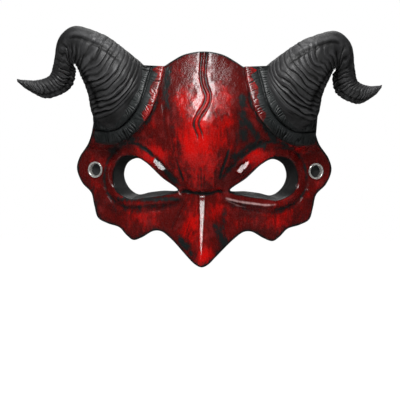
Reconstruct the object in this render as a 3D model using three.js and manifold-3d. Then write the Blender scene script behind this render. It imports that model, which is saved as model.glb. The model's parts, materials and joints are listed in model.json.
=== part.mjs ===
// Horned half mask: a glossy moulded face shell with two glued ram horns, a stepped collar
// round each horn's foot, and a flat elastic strap pinched behind each temple between an
// eyelet and a back ring, so that its cloth closes the eyelet's bore.
// Millimetres. +X to the viewer's right, -Y out of the face, +Z up. The origin lies midway
// between the two eyelets, level with the rear rim of the temples.

import * as THREE from 'three';
import { mergeVertices } from 'three/addons/utils/BufferGeometryUtils.js';
import Module from 'manifold-3d';

const wasm = await Module();
wasm.setup();

// face shell
const shellHalfWidth = 91.5; // middle line to the edge of a temple wing
const foreheadTop = 85.3; // above the eyelets
const noseDrop = 68.3; // nose tip below the eyelets
const shellWall = 3;
const shellDepth = 50; // cheek level on the middle line, in front of the rear rim
const shellEdgeDepth = 3; // what is left of that depth at the temples
const foreheadSwell = 20; // how far the brow stands out over the cheek level
const noseSwell = 25; // the same for the nose tip
const hornSeatSwell = 16; // bulge of the temple that carries a horn
const lidDrop = 27; // eye level down to where the brow's overhang starts on the middle line
const leftSideSpread = 1.5; // how much further out the outline's left side stands
const leftWingSpread = 1.2; // and its temple wing beyond that
const cellSize = 6; // spacing of the shell's surface points

// eye openings
const eyeSpacing = 77; // centre to centre
const eyeLevel = -4;
const eyeLength = 40; // inner corner to outer edge
const eyeRimWall = 2.6;
const eyeRimDepth = 10; // how far the turned-in rim reaches behind the face

// eyelets and the strap ends under them
const eyeletInset = 11.5; // from the edge of the temple
const eyeletDepth = 8; // outer face of the shell there
const wingAngle = THREE.MathUtils.degToRad(25);
const seatMargin = 5; // flat of the temple wing all round the strap's end
const seatFade = 8;
const fitGap = 0.3;
const boreRadius = 4.5;
const barrelWall = 0.4;
const flangeWidth = 1.4; // outward from the bore
const flangeHeight = 1.2;
const backRingWidth = 1.8;
const backRingHeight = 0.9;

// strap
const strapWidth = 15;
const strapThickness = 1.2;
const tabBendRadius = 4;
const tabRun = 6; // flat of the tab from the eyelet to its bend
const tailLength = 8; // from the bend to the hinge line
const strapReach = 146; // hinge line to the back of the loop
const strapRise = THREE.MathUtils.degToRad(17);

// horns, placed from the middle of the foot
const hornInset = 31; // from the edge of the temple
const hornLevel = 46; // above the eyelets
// Sections along a horn: outer edge x, z, inner edge x, z, middle depth, half thickness, and how
// far the section's front leans back towards the foot for each millimetre of depth.
const hornSections = [
  [-24.5, 21, 9.5, -19, -25, 19, 0.5],
  [-14, 31.5, 19.5, -7, -34, 20, 0.5],
  [-6.1, 37.3, 22.2, 4.5, -38, 20, 0.42],
  [2.5, 43.5, 25.2, 12.8, -38.5, 18.5, 0.3],
  [12.2, 49.2, 28.4, 20, -37, 17, 0.15],
  [32.4, 55, 32.3, 27.5, -30, 12, 0],
  [44.1, 46, 33.1, 26.5, -23, 9, 0],
  [47.1, 29, 31, 22.8, -17, 8, 0],
  [49.5, 19.5, 33.8, 10.6, -11.5, 7.2, 0],
  [57.5, 16.2, 48.5, 2.9, -9, 5.8, 0],
  [63.5, 16.2, 61, 8.6, -8.3, 3.4, 0],
  [67.1, 17, 66.7, 14.8, -8, 1, 0],
];
const hornSteps = 27;
const hornSides = 18;
const leftHornSpread = 9; // the left horn's tip reaches further out
const leftHornLift = 3; // and sits higher

// collar, placed as the horn is: its two borders in x and z, and its stepped section, each point
// the share of the way across and the height above the shell
const collarOuter = [
  [-32, 28.6], [-30.5, 20], [-26.7, 5], [-21.9, -6], [-10.1, -20.3], [4.9, -27.8], [19, -26.5],
];
const collarInner = [
  [-14, 29.4], [-10, 19], [-6.6, 5.5], [-0.9, -2.6], [6, -8], [20.5, -8],
];
const collarSection = [
  [0, -2], [0, 1.2], [0.08, 3], [0.42, 4], [0.5, 2.8], [0.58, 5], [1.3, 6.5], [1.3, -2],
];
const collarSteps = 20;

const paints = {
  shell: new THREE.MeshStandardMaterial({ color: 0xa30b0b, roughness: 0.28, metalness: 0 }),
  horn: new THREE.MeshStandardMaterial({ color: 0x2b2b2b, roughness: 0.7, metalness: 0 }),
  collar: new THREE.MeshStandardMaterial({ color: 0x1f1818, roughness: 0.5, metalness: 0 }),
  metal: new THREE.MeshStandardMaterial({ color: 0xb9bcc0, roughness: 0.3, metalness: 1 }),
  strap: new THREE.MeshStandardMaterial({ color: 0x1c1c1e, roughness: 0.9, metalness: 0 }),
};

const eyeletX = shellHalfWidth - eyeletInset;
const hornX = shellHalfWidth - hornInset;
const seatHalf = strapWidth / 2 + seatMargin;
const barrelRadius = boreRadius + barrelWall;
const holeRadius = barrelRadius + fitGap;
const mirrored = (points) => points.map(([x, ...rest]) => [-x, ...rest]);
const smooth = (t) => THREE.MathUtils.smoothstep(t, 0, 1);
const hump = (distance, reach) => Math.exp(-((distance / reach) ** 2));

function solid(geometry) {
  const bare = geometry.clone();
  bare.deleteAttribute('normal');
  bare.deleteAttribute('uv');
  const welded = mergeVertices(bare, 1e-4);
  const vertProperties = Float32Array.from(welded.attributes.position.array);
  const triVerts = Uint32Array.from(welded.index.array);
  return new wasm.Manifold(new wasm.Mesh({ numProp: 3, vertProperties, triVerts }));
}

function geometryOf(body) {
  const { vertProperties, triVerts } = body.getMesh();
  const geometry = new THREE.BufferGeometry();
  geometry.setAttribute('position', new THREE.BufferAttribute(vertProperties, 3));
  geometry.setIndex(new THREE.BufferAttribute(triVerts, 1));
  geometry.computeVertexNormals();
  return geometry;
}

function volumeOf(positions, index) {
  const corner = (k) => new THREE.Vector3().fromArray(positions, 3 * index[k]);
  let sum = 0;
  for (let i = 0; i < index.length; i += 3) {
    sum += corner(i).dot(corner(i + 1).cross(corner(i + 2))) / 6;
  }
  return sum;
}

// Rings of equal count, joined in order and closed at both ends, with the faces turned out.
function ringBody(rings) {
  const sides = rings[0].length;
  const positions = rings.flat().flatMap((p) => [p.x, p.y, p.z]);
  const index = [];
  for (let r = 0; r + 1 < rings.length; r += 1) {
    for (let s = 0; s < sides; s += 1) {
      const a = r * sides + s;
      const b = r * sides + ((s + 1) % sides);
      index.push(a, b, a + sides, b, b + sides, a + sides);
    }
  }
  for (const end of [0, rings.length - 1]) {
    const ring = rings[end];
    const middle = ring.reduce((sum, p) => sum.add(p), new THREE.Vector3()).divideScalar(sides);
    const hub = positions.length / 3;
    positions.push(middle.x, middle.y, middle.z);
    for (let s = 0; s < sides; s += 1) {
      const a = end * sides + s;
      const b = end * sides + ((s + 1) % sides);
      index.push(...(end === 0 ? [hub, b, a] : [hub, a, b]));
    }
  }
  const geometry = new THREE.BufferGeometry();
  geometry.setAttribute('position', new THREE.Float32BufferAttribute(positions, 3));
  geometry.setIndex(volumeOf(positions, index) < 0 ? index.reverse() : index);
  geometry.computeVertexNormals();
  return geometry;
}

// A flat outline in X and Z, pushed through the whole depth of the mask.
function prism(points) {
  const shape = new THREE.Shape(points.map(([x, z]) => new THREE.Vector2(x, z)));
  const through = 200;
  const geometry = new THREE.ExtrudeGeometry(shape, { depth: through, bevelEnabled: false });
  geometry.rotateX(Math.PI / 2);
  geometry.translate(0, through / 2, 0);
  return geometry;
}

function loopThrough(points, count) {
  const knots = points.map(([x, z]) => new THREE.Vector3(x, 0, z));
  const curve = new THREE.CatmullRomCurve3(knots, true, 'centripetal');
  return curve.getPoints(count).slice(0, -1).map((p) => [p.x, p.z]);
}

function grown(points, distance) {
  return points.map(([x, z], i) => {
    const before = points[(i + points.length - 1) % points.length];
    const after = points[(i + 1) % points.length];
    const run = new THREE.Vector2(after[0] - before[0], after[1] - before[1]).normalize();
    return [x - run.y * distance, z + run.x * distance];
  });
}

function shellOutline() {
  const wing = shellHalfWidth;
  const top = foreheadTop;
  const ledge = hornLevel + 28.4;
  const right = [
    [0, top], [13, top - 2.2], [22, top - 7], [hornX - 32, ledge], [hornX - 24.5, ledge],
    [hornX - 14.5, ledge + 0.2], [hornX - 2.5, ledge - 0.6], [hornX + 7.5, ledge - 7],
    [hornX + 14.5, hornLevel + 10], [hornX + 17.5, hornLevel - 2], [hornX + 18.3, hornLevel - 13],
    [wing - 9.5, 20.5], [wing - 2.2, 9.5], [wing, 1], [wing - 4, -9.5],
    [wing - 11, -17], [wing - 13.2, -26], [wing - 16, -35], [wing - 23, -38.9], [60, -41.6], [54.6, -47],
    [49.5, -50.4], [43.4, -48.5], [34.3, -43.5], [28.9, -43.7], [21.8, -48.8], [9.4, -noseDrop + 7],
    [4.4, -noseDrop + 1.9],
  ];
  const spread = (u) => leftSideSpread * smooth(u / 12) + leftWingSpread * smooth((u - 60) / 25);
  const left = mirrored(right.slice(1)).reverse().map(([x, z]) => [x - spread(-x), z]);
  return loopThrough([...right, [0, -noseDrop], ...left], 150);
}

function eyeOutline(side) {
  const k = eyeLength / 40;
  const edge = [
    [-19.8, -10], [-8.5, -1.4], [3.1, 9.2], [10.5, 12.6], [17.4, 9.2], [20.2, 0.8], [17, -8],
    [9.5, -13.4], [0.5, -11.8], [-9, -10.6],
  ];
  const points = edge.map(([x, z]) => [side * (eyeSpacing / 2 + x * k), eyeLevel + z * k]);
  return loopThrough(side > 0 ? points : points.reverse(), 44);
}

// How deep the face is before its features are raised.
function plainDepth(x) {
  const across = Math.max(Math.cos((Math.PI / 2) * (Math.abs(x) / (shellHalfWidth + 3.5))), 0);
  return shellEdgeDepth + (shellDepth - shellEdgeDepth) * across ** 1.35;
}

// How far the outer face stands in front of the rear rim.
function faceDepth(x, z) {
  const u = Math.abs(x);
  let depth = plainDepth(x);
  depth -= 14 * smooth((z - 30) / 60) * (depth / shellDepth);
  depth += hornSeatSwell * hump(Math.hypot(u - hornX, z - hornLevel), 38);

  const lidLine = eyeLevel - lidDrop + 0.78 * u;
  const overLid = smooth((z - lidLine + 2) / 11);
  const upBrow = smooth((z + 22) / 36);
  const leanBack = 1 - 0.5 * smooth((z - 20) / 65);
  depth += foreheadSwell * overLid * upBrow * leanBack * hump(u, 38);

  const downNose = smooth((-10 - z) / (noseDrop - 10));
  const bridge = 5;
  depth += (bridge + (noseSwell - bridge) * downNose) * hump(u, 9 + 8 * downNose) * (1 - upBrow);
  depth += 5 * hump(Math.hypot(u - 47, z + 33), 14);

  const inward = smooth((u - (eyeletX - seatHalf - seatFade)) / seatFade);
  const level = 1 - smooth((Math.abs(z) - seatHalf) / seatFade);
  const flat = eyeletDepth - Math.tan(wingAngle) * (u - eyeletX);
  return THREE.MathUtils.lerp(depth, flat, inward * level);
}

function wallAcross(x, z) {
  const h = 2;
  const slopeX = (faceDepth(x + h, z) - faceDepth(x - h, z)) / (2 * h);
  const slopeZ = (faceDepth(x, z + h) - faceDepth(x, z - h)) / (2 * h);
  return shellWall * Math.min(Math.sqrt(1 + slopeX ** 2 + slopeZ ** 2), 1.8);
}

// The space between two depths measured from the outer face, over the shell and a little past it.
function layer(frontAt, backAt) {
  const margin = 6;
  const width = 2 * (shellHalfWidth + margin);
  const height = foreheadTop + noseDrop + 2 * margin;
  const across = 2 * Math.round(width / cellSize / 2);
  const up = Math.round(height / cellSize);
  const block = new THREE.BoxGeometry(width, 1, height, across, 1, up);
  block.translate(0, 0, (foreheadTop - noseDrop) / 2);
  const place = block.attributes.position;
  for (let i = 0; i < place.count; i += 1) {
    const x = place.getX(i);
    const z = place.getZ(i);
    place.setY(i, place.getY(i) < 0 ? frontAt(x, z) : backAt(x, z));
  }
  return block;
}

function seatFrame(side) {
  const frame = new THREE.Group();
  frame.position.set(side * eyeletX, -eyeletDepth, 0);
  frame.rotation.z = Math.PI + side * wingAngle;
  frame.updateMatrixWorld(true);
  return frame;
}

function eyeletHole(side) {
  const drill = new THREE.CylinderGeometry(holeRadius, holeRadius, 40, 24);
  drill.applyMatrix4(seatFrame(side).matrixWorld);
  return solid(drill);
}

function faceShell() {
  const outer = (x, z) => -faceDepth(x, z);
  const inner = (x, z) => -faceDepth(x, z) + wallAcross(x, z);
  const rimBack = (x) => -plainDepth(x) + eyeRimDepth;
  let shell = solid(layer(outer, inner)).intersect(solid(prism(shellOutline())));
  for (const side of [1, -1]) {
    const edge = eyeOutline(side);
    const rim = solid(prism(grown(edge, eyeRimWall)));
    const behind = solid(layer((x, z) => outer(x, z) + shellWall / 3, rimBack));
    shell = shell.add(rim.intersect(behind));
    shell = shell.subtract(solid(prism(edge))).subtract(eyeletHole(side));
  }
  return geometryOf(shell);
}

function hornGeometry(side, spare) {
  const track = (a, b) => new THREE.CatmullRomCurve3(
    hornSections.map((row) => new THREE.Vector3(row[a], row[b], 0)), false, 'catmullrom', 0.5);
  const outerTrack = track(0, 1);
  const innerTrack = track(2, 3);
  const depthTrack = track(4, 5);
  const leanTrack = track(6, 6);
  const rings = [];
  for (let k = 0; k <= hornSteps; k += 1) {
    const t = k / hornSteps;
    const spread = side < 0 ? leftHornSpread * t ** 3 : 0;
    const lift = side < 0 ? leftHornLift * smooth(t * 2) : 0;
    const out = outerTrack.getPoint(t);
    const inn = innerTrack.getPoint(t);
    const { x: depth, y: half } = depthTrack.getPoint(t);
    const middle = new THREE.Vector3((out.x + inn.x) / 2, depth, (out.y + inn.y) / 2);
    middle.add(new THREE.Vector3(hornX + spread, 0, hornLevel + lift));
    const toOuter = new THREE.Vector3(out.x - inn.x, 0, out.y - inn.y).divideScalar(2);
    const lean = leanTrack.getPoint(t).x;
    const forward = new THREE.Vector3(toOuter.z, 0, -toOuter.x).normalize();
    toOuter.setLength(toOuter.length() + spare);
    if (k === 0) middle.addScaledVector(forward, -spare);
    const ring = [];
    for (let s = 0; s < hornSides; s += 1) {
      const angle = (s / hornSides) * 2 * Math.PI;
      const back = (half + spare) * Math.sin(angle);
      const p = middle.clone().addScaledVector(toOuter, Math.cos(angle));
      p.addScaledVector(forward, back * lean);
      p.y += back;
      p.x *= side;
      ring.push(p);
    }
    rings.push(ring);
  }
  return ringBody(rings);
}

// Everything behind the outer face, less the gap that a glued piece keeps to it.
function behindFace() {
  return solid(layer((x, z) => -faceDepth(x, z) - fitGap * 1.5, () => 60));
}

function horn(side, behind) {
  return geometryOf(solid(hornGeometry(side, 0)).subtract(behind));
}

function collar(side, behind) {
  const border = (points) => new THREE.CatmullRomCurve3(
    points.map(([x, z]) => new THREE.Vector3(x, z, 0)), false, 'centripetal');
  const outer = border(collarOuter);
  const inner = border(collarInner);
  const rings = [];
  for (let k = 0; k <= collarSteps; k += 1) {
    const from = outer.getPointAt(k / collarSteps);
    const to = inner.getPointAt(k / collarSteps);
    rings.push(collarSection.map(([share, height]) => {
      const x = hornX + THREE.MathUtils.lerp(from.x, to.x, share);
      const z = hornLevel + THREE.MathUtils.lerp(from.y, to.y, share);
      return new THREE.Vector3(side * x, -faceDepth(x, z) - height, z);
    }));
  }
  const roll = solid(ringBody(rings));
  return geometryOf(roll.subtract(behind).subtract(solid(hornGeometry(side, fitGap))));
}

function turned(profile) {
  const points = [...profile, profile[0]].map(([r, h]) => new THREE.Vector2(r, h));
  return new THREE.LatheGeometry(points, 20);
}

// Where the strap's end lies, measured from the shell's outer face inwards.
const tabTop = -shellWall - fitGap;

// Flange over the temple, barrel through it, down to the cloth.
function eyelet() {
  const top = fitGap + flangeHeight;
  const rim = boreRadius + flangeWidth;
  const foot = tabTop + fitGap / 2;
  return turned([
    [boreRadius, foot], [barrelRadius, foot], [barrelRadius, fitGap], [rim, fitGap],
    [rim, top - 0.6], [rim - 0.3, top], [boreRadius + 0.3, top], [boreRadius, top - 0.4],
  ]);
}

// Ring behind the cloth, opposite the barrel.
function backRing() {
  const top = tabTop - strapThickness - fitGap;
  const low = top - backRingHeight;
  const rim = boreRadius + backRingWidth;
  return turned([
    [boreRadius, low + 0.3], [boreRadius + 0.3, low], [rim - 0.3, low], [rim, low + 0.3],
    [rim, top], [boreRadius, top],
  ]);
}

// A flat band on edge: its course lies in X and Y, its width stands along Z, its ends are round.
function ribbon(course) {
  const half = strapWidth / 2;
  const lengths = [0];
  for (let i = 1; i < course.length; i += 1) {
    lengths.push(lengths[i - 1] + course[i].distanceTo(course[i - 1]));
  }
  const total = lengths[lengths.length - 1];
  return ringBody(course.map((p, i) => {
    const before = course[Math.max(i - 1, 0)];
    const after = course[Math.min(i + 1, course.length - 1)];
    const run = after.clone().sub(before).normalize();
    const side = new THREE.Vector3(-run.y, run.x, 0).multiplyScalar(strapThickness / 2);
    const toEnd = Math.min(lengths[i], total - lengths[i], half);
    const high = Math.max(Math.sqrt(half ** 2 - (half - toEnd) ** 2), 0.6);
    return [[1, 1], [-1, 1], [-1, -1], [1, -1]].map(([a, b]) => (
      p.clone().addScaledVector(side, a).add(new THREE.Vector3(0, 0, b * high))));
  }));
}

function roundEnd(from, towards) {
  const run = towards.clone().sub(from).normalize();
  const half = strapWidth / 2;
  return [0, 0.06, 0.22, 0.5, 0.78].map((share) => from.clone().addScaledVector(run, share * half));
}

// Course of a tab: flat behind the temple, then bent back past its edge.
function tabCourse() {
  const flat = new THREE.Vector3(Math.cos(wingAngle), Math.sin(wingAngle), 0);
  const outward = new THREE.Vector3(Math.sin(wingAngle), -Math.cos(wingAngle), 0);
  const centre = new THREE.Vector3(eyeletX, -eyeletDepth, 0);
  centre.addScaledVector(outward, tabTop - strapThickness / 2);
  const bendStart = centre.clone().addScaledVector(flat, tabRun);
  const pivot = bendStart.clone().addScaledVector(outward, -tabBendRadius);
  const course = roundEnd(centre.clone().addScaledVector(flat, -strapWidth / 2), centre);
  course.push(centre);
  const bends = 5;
  for (let k = 0; k <= bends; k += 1) {
    const turn = wingAngle + (Math.PI / 2 - wingAngle) * (k / bends);
    const arm = new THREE.Vector3(Math.sin(turn), -Math.cos(turn), 0);
    course.push(pivot.clone().addScaledVector(arm, tabBendRadius));
  }
  const bent = course[course.length - 1];
  const hinge = bent.clone().add(new THREE.Vector3(0, tailLength, 0));
  const end = hinge.clone().add(new THREE.Vector3(0, strapWidth / 2, 0));
  course.push(hinge, ...roundEnd(end, hinge).reverse());
  return { course, hinge };
}

function strapTab(side) {
  const { course } = tabCourse();
  return ribbon(course.map((p) => new THREE.Vector3(side * p.x, p.y, p.z)));
}

// The loop lies flat here, with its hinge line on the X axis; its group gives it the rise.
function strapLoop() {
  const start = tabCourse().hinge.x - strapThickness - fitGap;
  const half = strapWidth / 2;
  const outer = new THREE.Vector3(start, -half, 0);
  const right = [
    [start, 13], [start - 2.5, 34], [start * 0.82, 66], [start * 0.6, 98], [start * 0.37, 126],
    [start * 0.17, strapReach - 5],
  ].map(([x, y]) => new THREE.Vector3(x, y, 0));
  const left = right.map((p) => new THREE.Vector3(-p.x, p.y, 0)).reverse();
  const bend = new THREE.CatmullRomCurve3(
    [...right, new THREE.Vector3(0, strapReach, 0), ...left], false, 'centripetal');
  const rightEnd = [...roundEnd(outer, right[0]), new THREE.Vector3(start, 0, 0)];
  const leftEnd = rightEnd.map((p) => new THREE.Vector3(-p.x, p.y, 0)).reverse();
  return ribbon([...rightEnd, ...bend.getPoints(56), ...leftEnd]);
}

const mask = new THREE.Group();

function addTo(group, name, geometry, material) {
  const mesh = new THREE.Mesh(geometry, material);
  mesh.name = name;
  group.add(mesh);
}

const behind = behindFace();
addTo(mask, 'face_shell', faceShell(), paints.shell);
for (const [word, side] of [['right', 1], ['left', -1]]) {
  addTo(mask, `${word}_horn`, horn(side, behind), paints.horn);
  addTo(mask, `${word}_horn_collar`, collar(side, behind), paints.collar);
  const seat = seatFrame(side);
  addTo(seat, `${word}_eyelet`, eyelet(), paints.metal);
  addTo(seat, `${word}_back_ring`, backRing(), paints.metal);
  mask.add(seat);
  addTo(mask, `${word}_strap_tab`, strapTab(side), paints.strap);
}
const loop = new THREE.Group();
loop.position.y = tabCourse().hinge.y;
loop.rotation.x = strapRise;
addTo(loop, 'strap_loop', strapLoop(), paints.strap);
mask.add(loop);

export default mask;
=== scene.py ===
import json
import math

import bmesh
import bpy
import numpy as np
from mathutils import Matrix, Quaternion, Vector
from mathutils.geometry import delaunay_2d_cdt

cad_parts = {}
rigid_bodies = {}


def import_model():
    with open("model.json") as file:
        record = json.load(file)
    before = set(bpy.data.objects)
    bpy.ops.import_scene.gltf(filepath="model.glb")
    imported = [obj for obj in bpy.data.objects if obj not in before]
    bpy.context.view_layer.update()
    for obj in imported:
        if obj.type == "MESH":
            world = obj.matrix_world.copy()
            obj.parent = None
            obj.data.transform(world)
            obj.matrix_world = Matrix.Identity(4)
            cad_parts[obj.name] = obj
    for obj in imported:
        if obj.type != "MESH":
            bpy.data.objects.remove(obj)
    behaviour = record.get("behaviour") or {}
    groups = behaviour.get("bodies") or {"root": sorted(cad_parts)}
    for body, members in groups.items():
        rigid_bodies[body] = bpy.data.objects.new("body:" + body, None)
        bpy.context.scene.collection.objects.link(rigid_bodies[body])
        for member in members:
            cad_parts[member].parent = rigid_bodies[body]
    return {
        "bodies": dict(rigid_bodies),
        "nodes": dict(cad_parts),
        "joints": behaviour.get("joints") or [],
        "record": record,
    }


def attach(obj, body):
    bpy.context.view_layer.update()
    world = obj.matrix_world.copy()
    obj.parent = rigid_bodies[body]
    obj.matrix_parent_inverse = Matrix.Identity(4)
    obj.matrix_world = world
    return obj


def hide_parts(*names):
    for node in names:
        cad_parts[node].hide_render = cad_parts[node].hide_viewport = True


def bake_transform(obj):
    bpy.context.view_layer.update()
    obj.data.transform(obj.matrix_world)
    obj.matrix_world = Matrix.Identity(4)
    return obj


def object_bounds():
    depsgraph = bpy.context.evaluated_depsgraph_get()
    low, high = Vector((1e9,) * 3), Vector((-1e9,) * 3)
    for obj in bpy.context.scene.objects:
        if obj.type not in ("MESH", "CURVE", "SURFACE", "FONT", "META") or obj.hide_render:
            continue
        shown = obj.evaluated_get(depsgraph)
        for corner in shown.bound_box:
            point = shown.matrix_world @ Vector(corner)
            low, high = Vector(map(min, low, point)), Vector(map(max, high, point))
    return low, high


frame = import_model()
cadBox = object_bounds()
scene = bpy.context.scene
scene.view_settings.view_transform = "Standard"
mm = 0.001  # the shapes below are worked out in millimetres, as the CAD is, and made in metres

# camera and light

shot = {
    "aim": (-3.1, -30, -21.2),
    "width": 288,  # what the frame takes in at the aim
    "distance": 2400,
    "azimuth": 2,
    "elevation": 0.8,
    "roll": 0.4,
}
studio = {
    "floorDrop": 100,  # below the nose
    "floorSize": 9000,
    "seen": 1.0,
    "ambient": 0.1,
    "ambientGloss": 0.025,
    # name: azimuth, elevation, distance, width, height, watts, whether it shows in the gloss
    "lamps": {
        "topBox": (-4, 41, 900, 170, 400, 6.4, True),
        "crownBox": (-4, 62, 900, 250, 250, 5.4, True),
        "leftBox": (-62, 18, 1200, 500, 900, 2.2, False),
        "rightBox": (64, 22, 1200, 500, 900, 1.7, False),
        "backBox": (180, 50, 1300, 900, 600, 5.0, True),
    },
}


def towards(azimuth, elevation):
    turn, rise = math.radians(azimuth), math.radians(elevation)
    level = math.cos(rise)
    return Vector((math.sin(turn) * level, -math.cos(turn) * level, math.sin(rise)))


def makeCamera():
    back = towards(shot["azimuth"], shot["elevation"])
    lens = bpy.data.cameras.new("camera")
    lens.lens = lens.sensor_width * shot["distance"] / shot["width"]
    lens.clip_start, lens.clip_end = 0.01, 50
    camera = bpy.data.objects.new("camera", lens)
    camera.location = (Vector(shot["aim"]) + back * shot["distance"]) * mm
    camera.rotation_mode = "QUATERNION"
    roll = Quaternion((0, 0, 1), math.radians(shot["roll"]))
    camera.rotation_quaternion = (-back).to_track_quat("-Z", "Y") @ roll
    scene.collection.objects.link(camera)
    scene.camera = camera


def makeLamps():
    aim = Vector((0, -30, 10))
    for name, facts in studio["lamps"].items():
        azimuth, elevation, distance, width, height, watts, shows = facts
        lamp = bpy.data.lights.new(name, "AREA")
        lamp.shape = "RECTANGLE"
        lamp.size, lamp.size_y, lamp.energy = width * mm, height * mm, watts
        back = towards(azimuth, elevation)
        holder = bpy.data.objects.new(name, lamp)
        holder.visible_glossy = shows
        holder.location = (aim + back * distance) * mm
        holder.rotation_euler = (-back).to_track_quat("-Z", "Y").to_euler()
        scene.collection.objects.link(holder)


def makeRoom():
    world = bpy.data.worlds.new("room")
    scene.world = world
    world.use_nodes = True
    tree = world.node_tree
    tree.nodes.clear()
    path = tree.nodes.new("ShaderNodeLightPath")
    result = None
    rays = {"": "ambient", "Is Glossy Ray": "ambientGloss", "Is Camera Ray": "seen"}
    for kind, strength in rays.items():
        glow = tree.nodes.new("ShaderNodeBackground")
        glow.inputs["Color"].default_value = (1, 1, 1, 1)
        glow.inputs["Strength"].default_value = studio[strength]
        if result is None:
            result = glow.outputs[0]
            continue
        mix = tree.nodes.new("ShaderNodeMixShader")
        tree.links.new(path.outputs[kind], mix.inputs[0])
        tree.links.new(result, mix.inputs[1])
        tree.links.new(glow.outputs[0], mix.inputs[2])
        result = mix.outputs[0]
    out = tree.nodes.new("ShaderNodeOutputWorld")
    tree.links.new(result, out.inputs["Surface"])

    half, low = studio["floorSize"] / 2, cadBox[0].z / mm - studio["floorDrop"]
    corners = [(-half, -half, low), (half, -half, low), (half, half, low), (-half, half, low)]
    floor = meshObject("floor", corners, [(0, 1, 2, 3)], smoothed=False)
    paint = bpy.data.materials.new("paleFloor")
    paint.use_nodes = True
    surface = paint.node_tree.nodes["Principled BSDF"]
    surface.inputs["Base Color"].default_value = (0.9, 0.9, 0.9, 1)
    surface.inputs["Roughness"].default_value = 0.9
    path = paint.node_tree.nodes.new("ShaderNodeLightPath")
    paint.node_tree.links.new(path.outputs["Is Camera Ray"], surface.inputs["Emission Strength"])
    surface.inputs["Emission Color"].default_value = (0.92, 0.92, 0.92, 1)
    floor.data.materials.append(paint)
    floor.visible_glossy = False


def feed(tree, socket, value):
    if isinstance(value, bpy.types.NodeSocket):
        tree.links.new(value, socket)
    else:
        socket.default_value = value


def meshObject(name, points, faces, smoothed=True):
    data = bpy.data.meshes.new(name)
    data.from_pydata([tuple(float(c) * mm for c in p) for p in points], [], faces)
    data.polygons.foreach_set("use_smooth", [smoothed] * len(data.polygons))
    data.update()
    piece = bpy.data.objects.new(name, data)
    scene.collection.objects.link(piece)
    return piece


def turnOutwards(piece):
    form = bmesh.new()
    form.from_mesh(piece.data)
    bmesh.ops.recalc_face_normals(form, faces=form.faces)
    form.to_mesh(piece.data)
    form.free()


def addMask(piece, name, values):
    layer = piece.data.attributes.new(name, "FLOAT", "POINT")
    layer.data.foreach_set("value", np.asarray(values, dtype=np.float32))


makeCamera()
makeLamps()
makeRoom()
print("camera, lamps and floor")

# shared sums


def smooth(t):
    t = np.clip(t, 0, 1)
    return t * t * (3 - 2 * t)


def fade(value, reach):
    # 1 at nothing, 0 at reach
    return 1 - smooth(value / reach)


def window(value, low, up, high, down):
    # rises from low over up and falls to nothing at high over down
    return smooth((value - low) / up) * smooth((high - value) / down)


def hump(distance, reach):
    return np.exp(-((distance / reach) ** 2))


def softNoise(u, v, seed):
    # smooth noise over u and v, from -1 to 1, one bump a unit
    u, v = np.broadcast_arrays(np.asarray(u, float), np.asarray(v, float))
    cells = np.random.RandomState(seed).uniform(-1, 1, (64, 64))
    left, low = np.floor(u).astype(int), np.floor(v).astype(int)
    across, up = smooth(u - left), smooth(v - low)

    def at(i, j):
        return cells[(left + i) % 64, (low + j) % 64]

    bottom = at(0, 0) * (1 - across) + at(1, 0) * across
    top = at(0, 1) * (1 - across) + at(1, 1) * across
    return bottom * (1 - up) + top * up


def splineThrough(knots, perSpan, closed=False, even=False):
    knots = np.asarray(knots, float)
    count = len(knots)
    share = (np.arange(perSpan) / perSpan)[:, None]
    rows = []
    for i in range(count if closed else count - 1):
        p1, p2 = knots[i], knots[(i + 1) % count]
        p0 = knots[i - 1] if closed or i > 0 else 2 * p1 - p2
        p3 = knots[(i + 2) % count] if closed or i + 2 < count else 2 * p2 - p1
        gaps = [1 if even else max(np.linalg.norm(b - a), 1e-4) ** 0.5
                for a, b in ((p0, p1), (p1, p2), (p2, p3))]
        leave = (p1 - p0) / gaps[0] - (p2 - p0) / (gaps[0] + gaps[1]) + (p2 - p1) / gaps[1]
        reach = (p2 - p1) / gaps[1] - (p3 - p1) / (gaps[1] + gaps[2]) + (p3 - p2) / gaps[2]
        leave, reach = leave * gaps[1], reach * gaps[1]
        rows.append(p1 + leave * share + (3 * p2 - 3 * p1 - 2 * leave - reach) * share ** 2
                    + (2 * p1 - 2 * p2 + leave + reach) * share ** 3)
    if not closed:
        rows.append(knots[-1:])
    return np.vstack(rows)


def evenly(points, count, closed=False):
    path = np.vstack([points, points[:1]]) if closed else np.asarray(points)
    run = np.concatenate([[0], np.cumsum(np.linalg.norm(np.diff(path, axis=0), axis=1))])
    stops = np.linspace(0, run[-1], count + 1)[:-1] if closed else np.linspace(0, run[-1], count)
    return np.column_stack([np.interp(stops, run, path[:, k]) for k in range(path.shape[1])])


def lengthOf(points):
    return float(np.linalg.norm(np.diff(points, axis=0), axis=1).sum())


def distanceTo(points, line, closed=False):
    # each point's distance to a line, and how far along the line its nearest place is, from 0 to 1
    path = np.vstack([line, line[:1]]) if closed else np.asarray(line)
    start, step = path[:-1], np.diff(path, axis=0)
    span = np.maximum((step ** 2).sum(axis=1), 1e-12)
    run = np.concatenate([[0], np.cumsum(np.sqrt(span))])
    best, where = np.empty(len(points)), np.empty(len(points))
    for low in range(0, len(points), 4000):
        part = points[low:low + 4000]
        off = part[:, None, :] - start[None]
        share = np.clip((off * step).sum(axis=2) / span, 0, 1)
        gap = ((off - share[..., None] * step) ** 2).sum(axis=2)
        near = gap.argmin(axis=1)
        rows = np.arange(len(part))
        best[low:low + 4000] = np.sqrt(gap[rows, near])
        where[low:low + 4000] = (run[near] + share[rows, near] * np.sqrt(span[near])) / run[-1]
    return best, where


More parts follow.
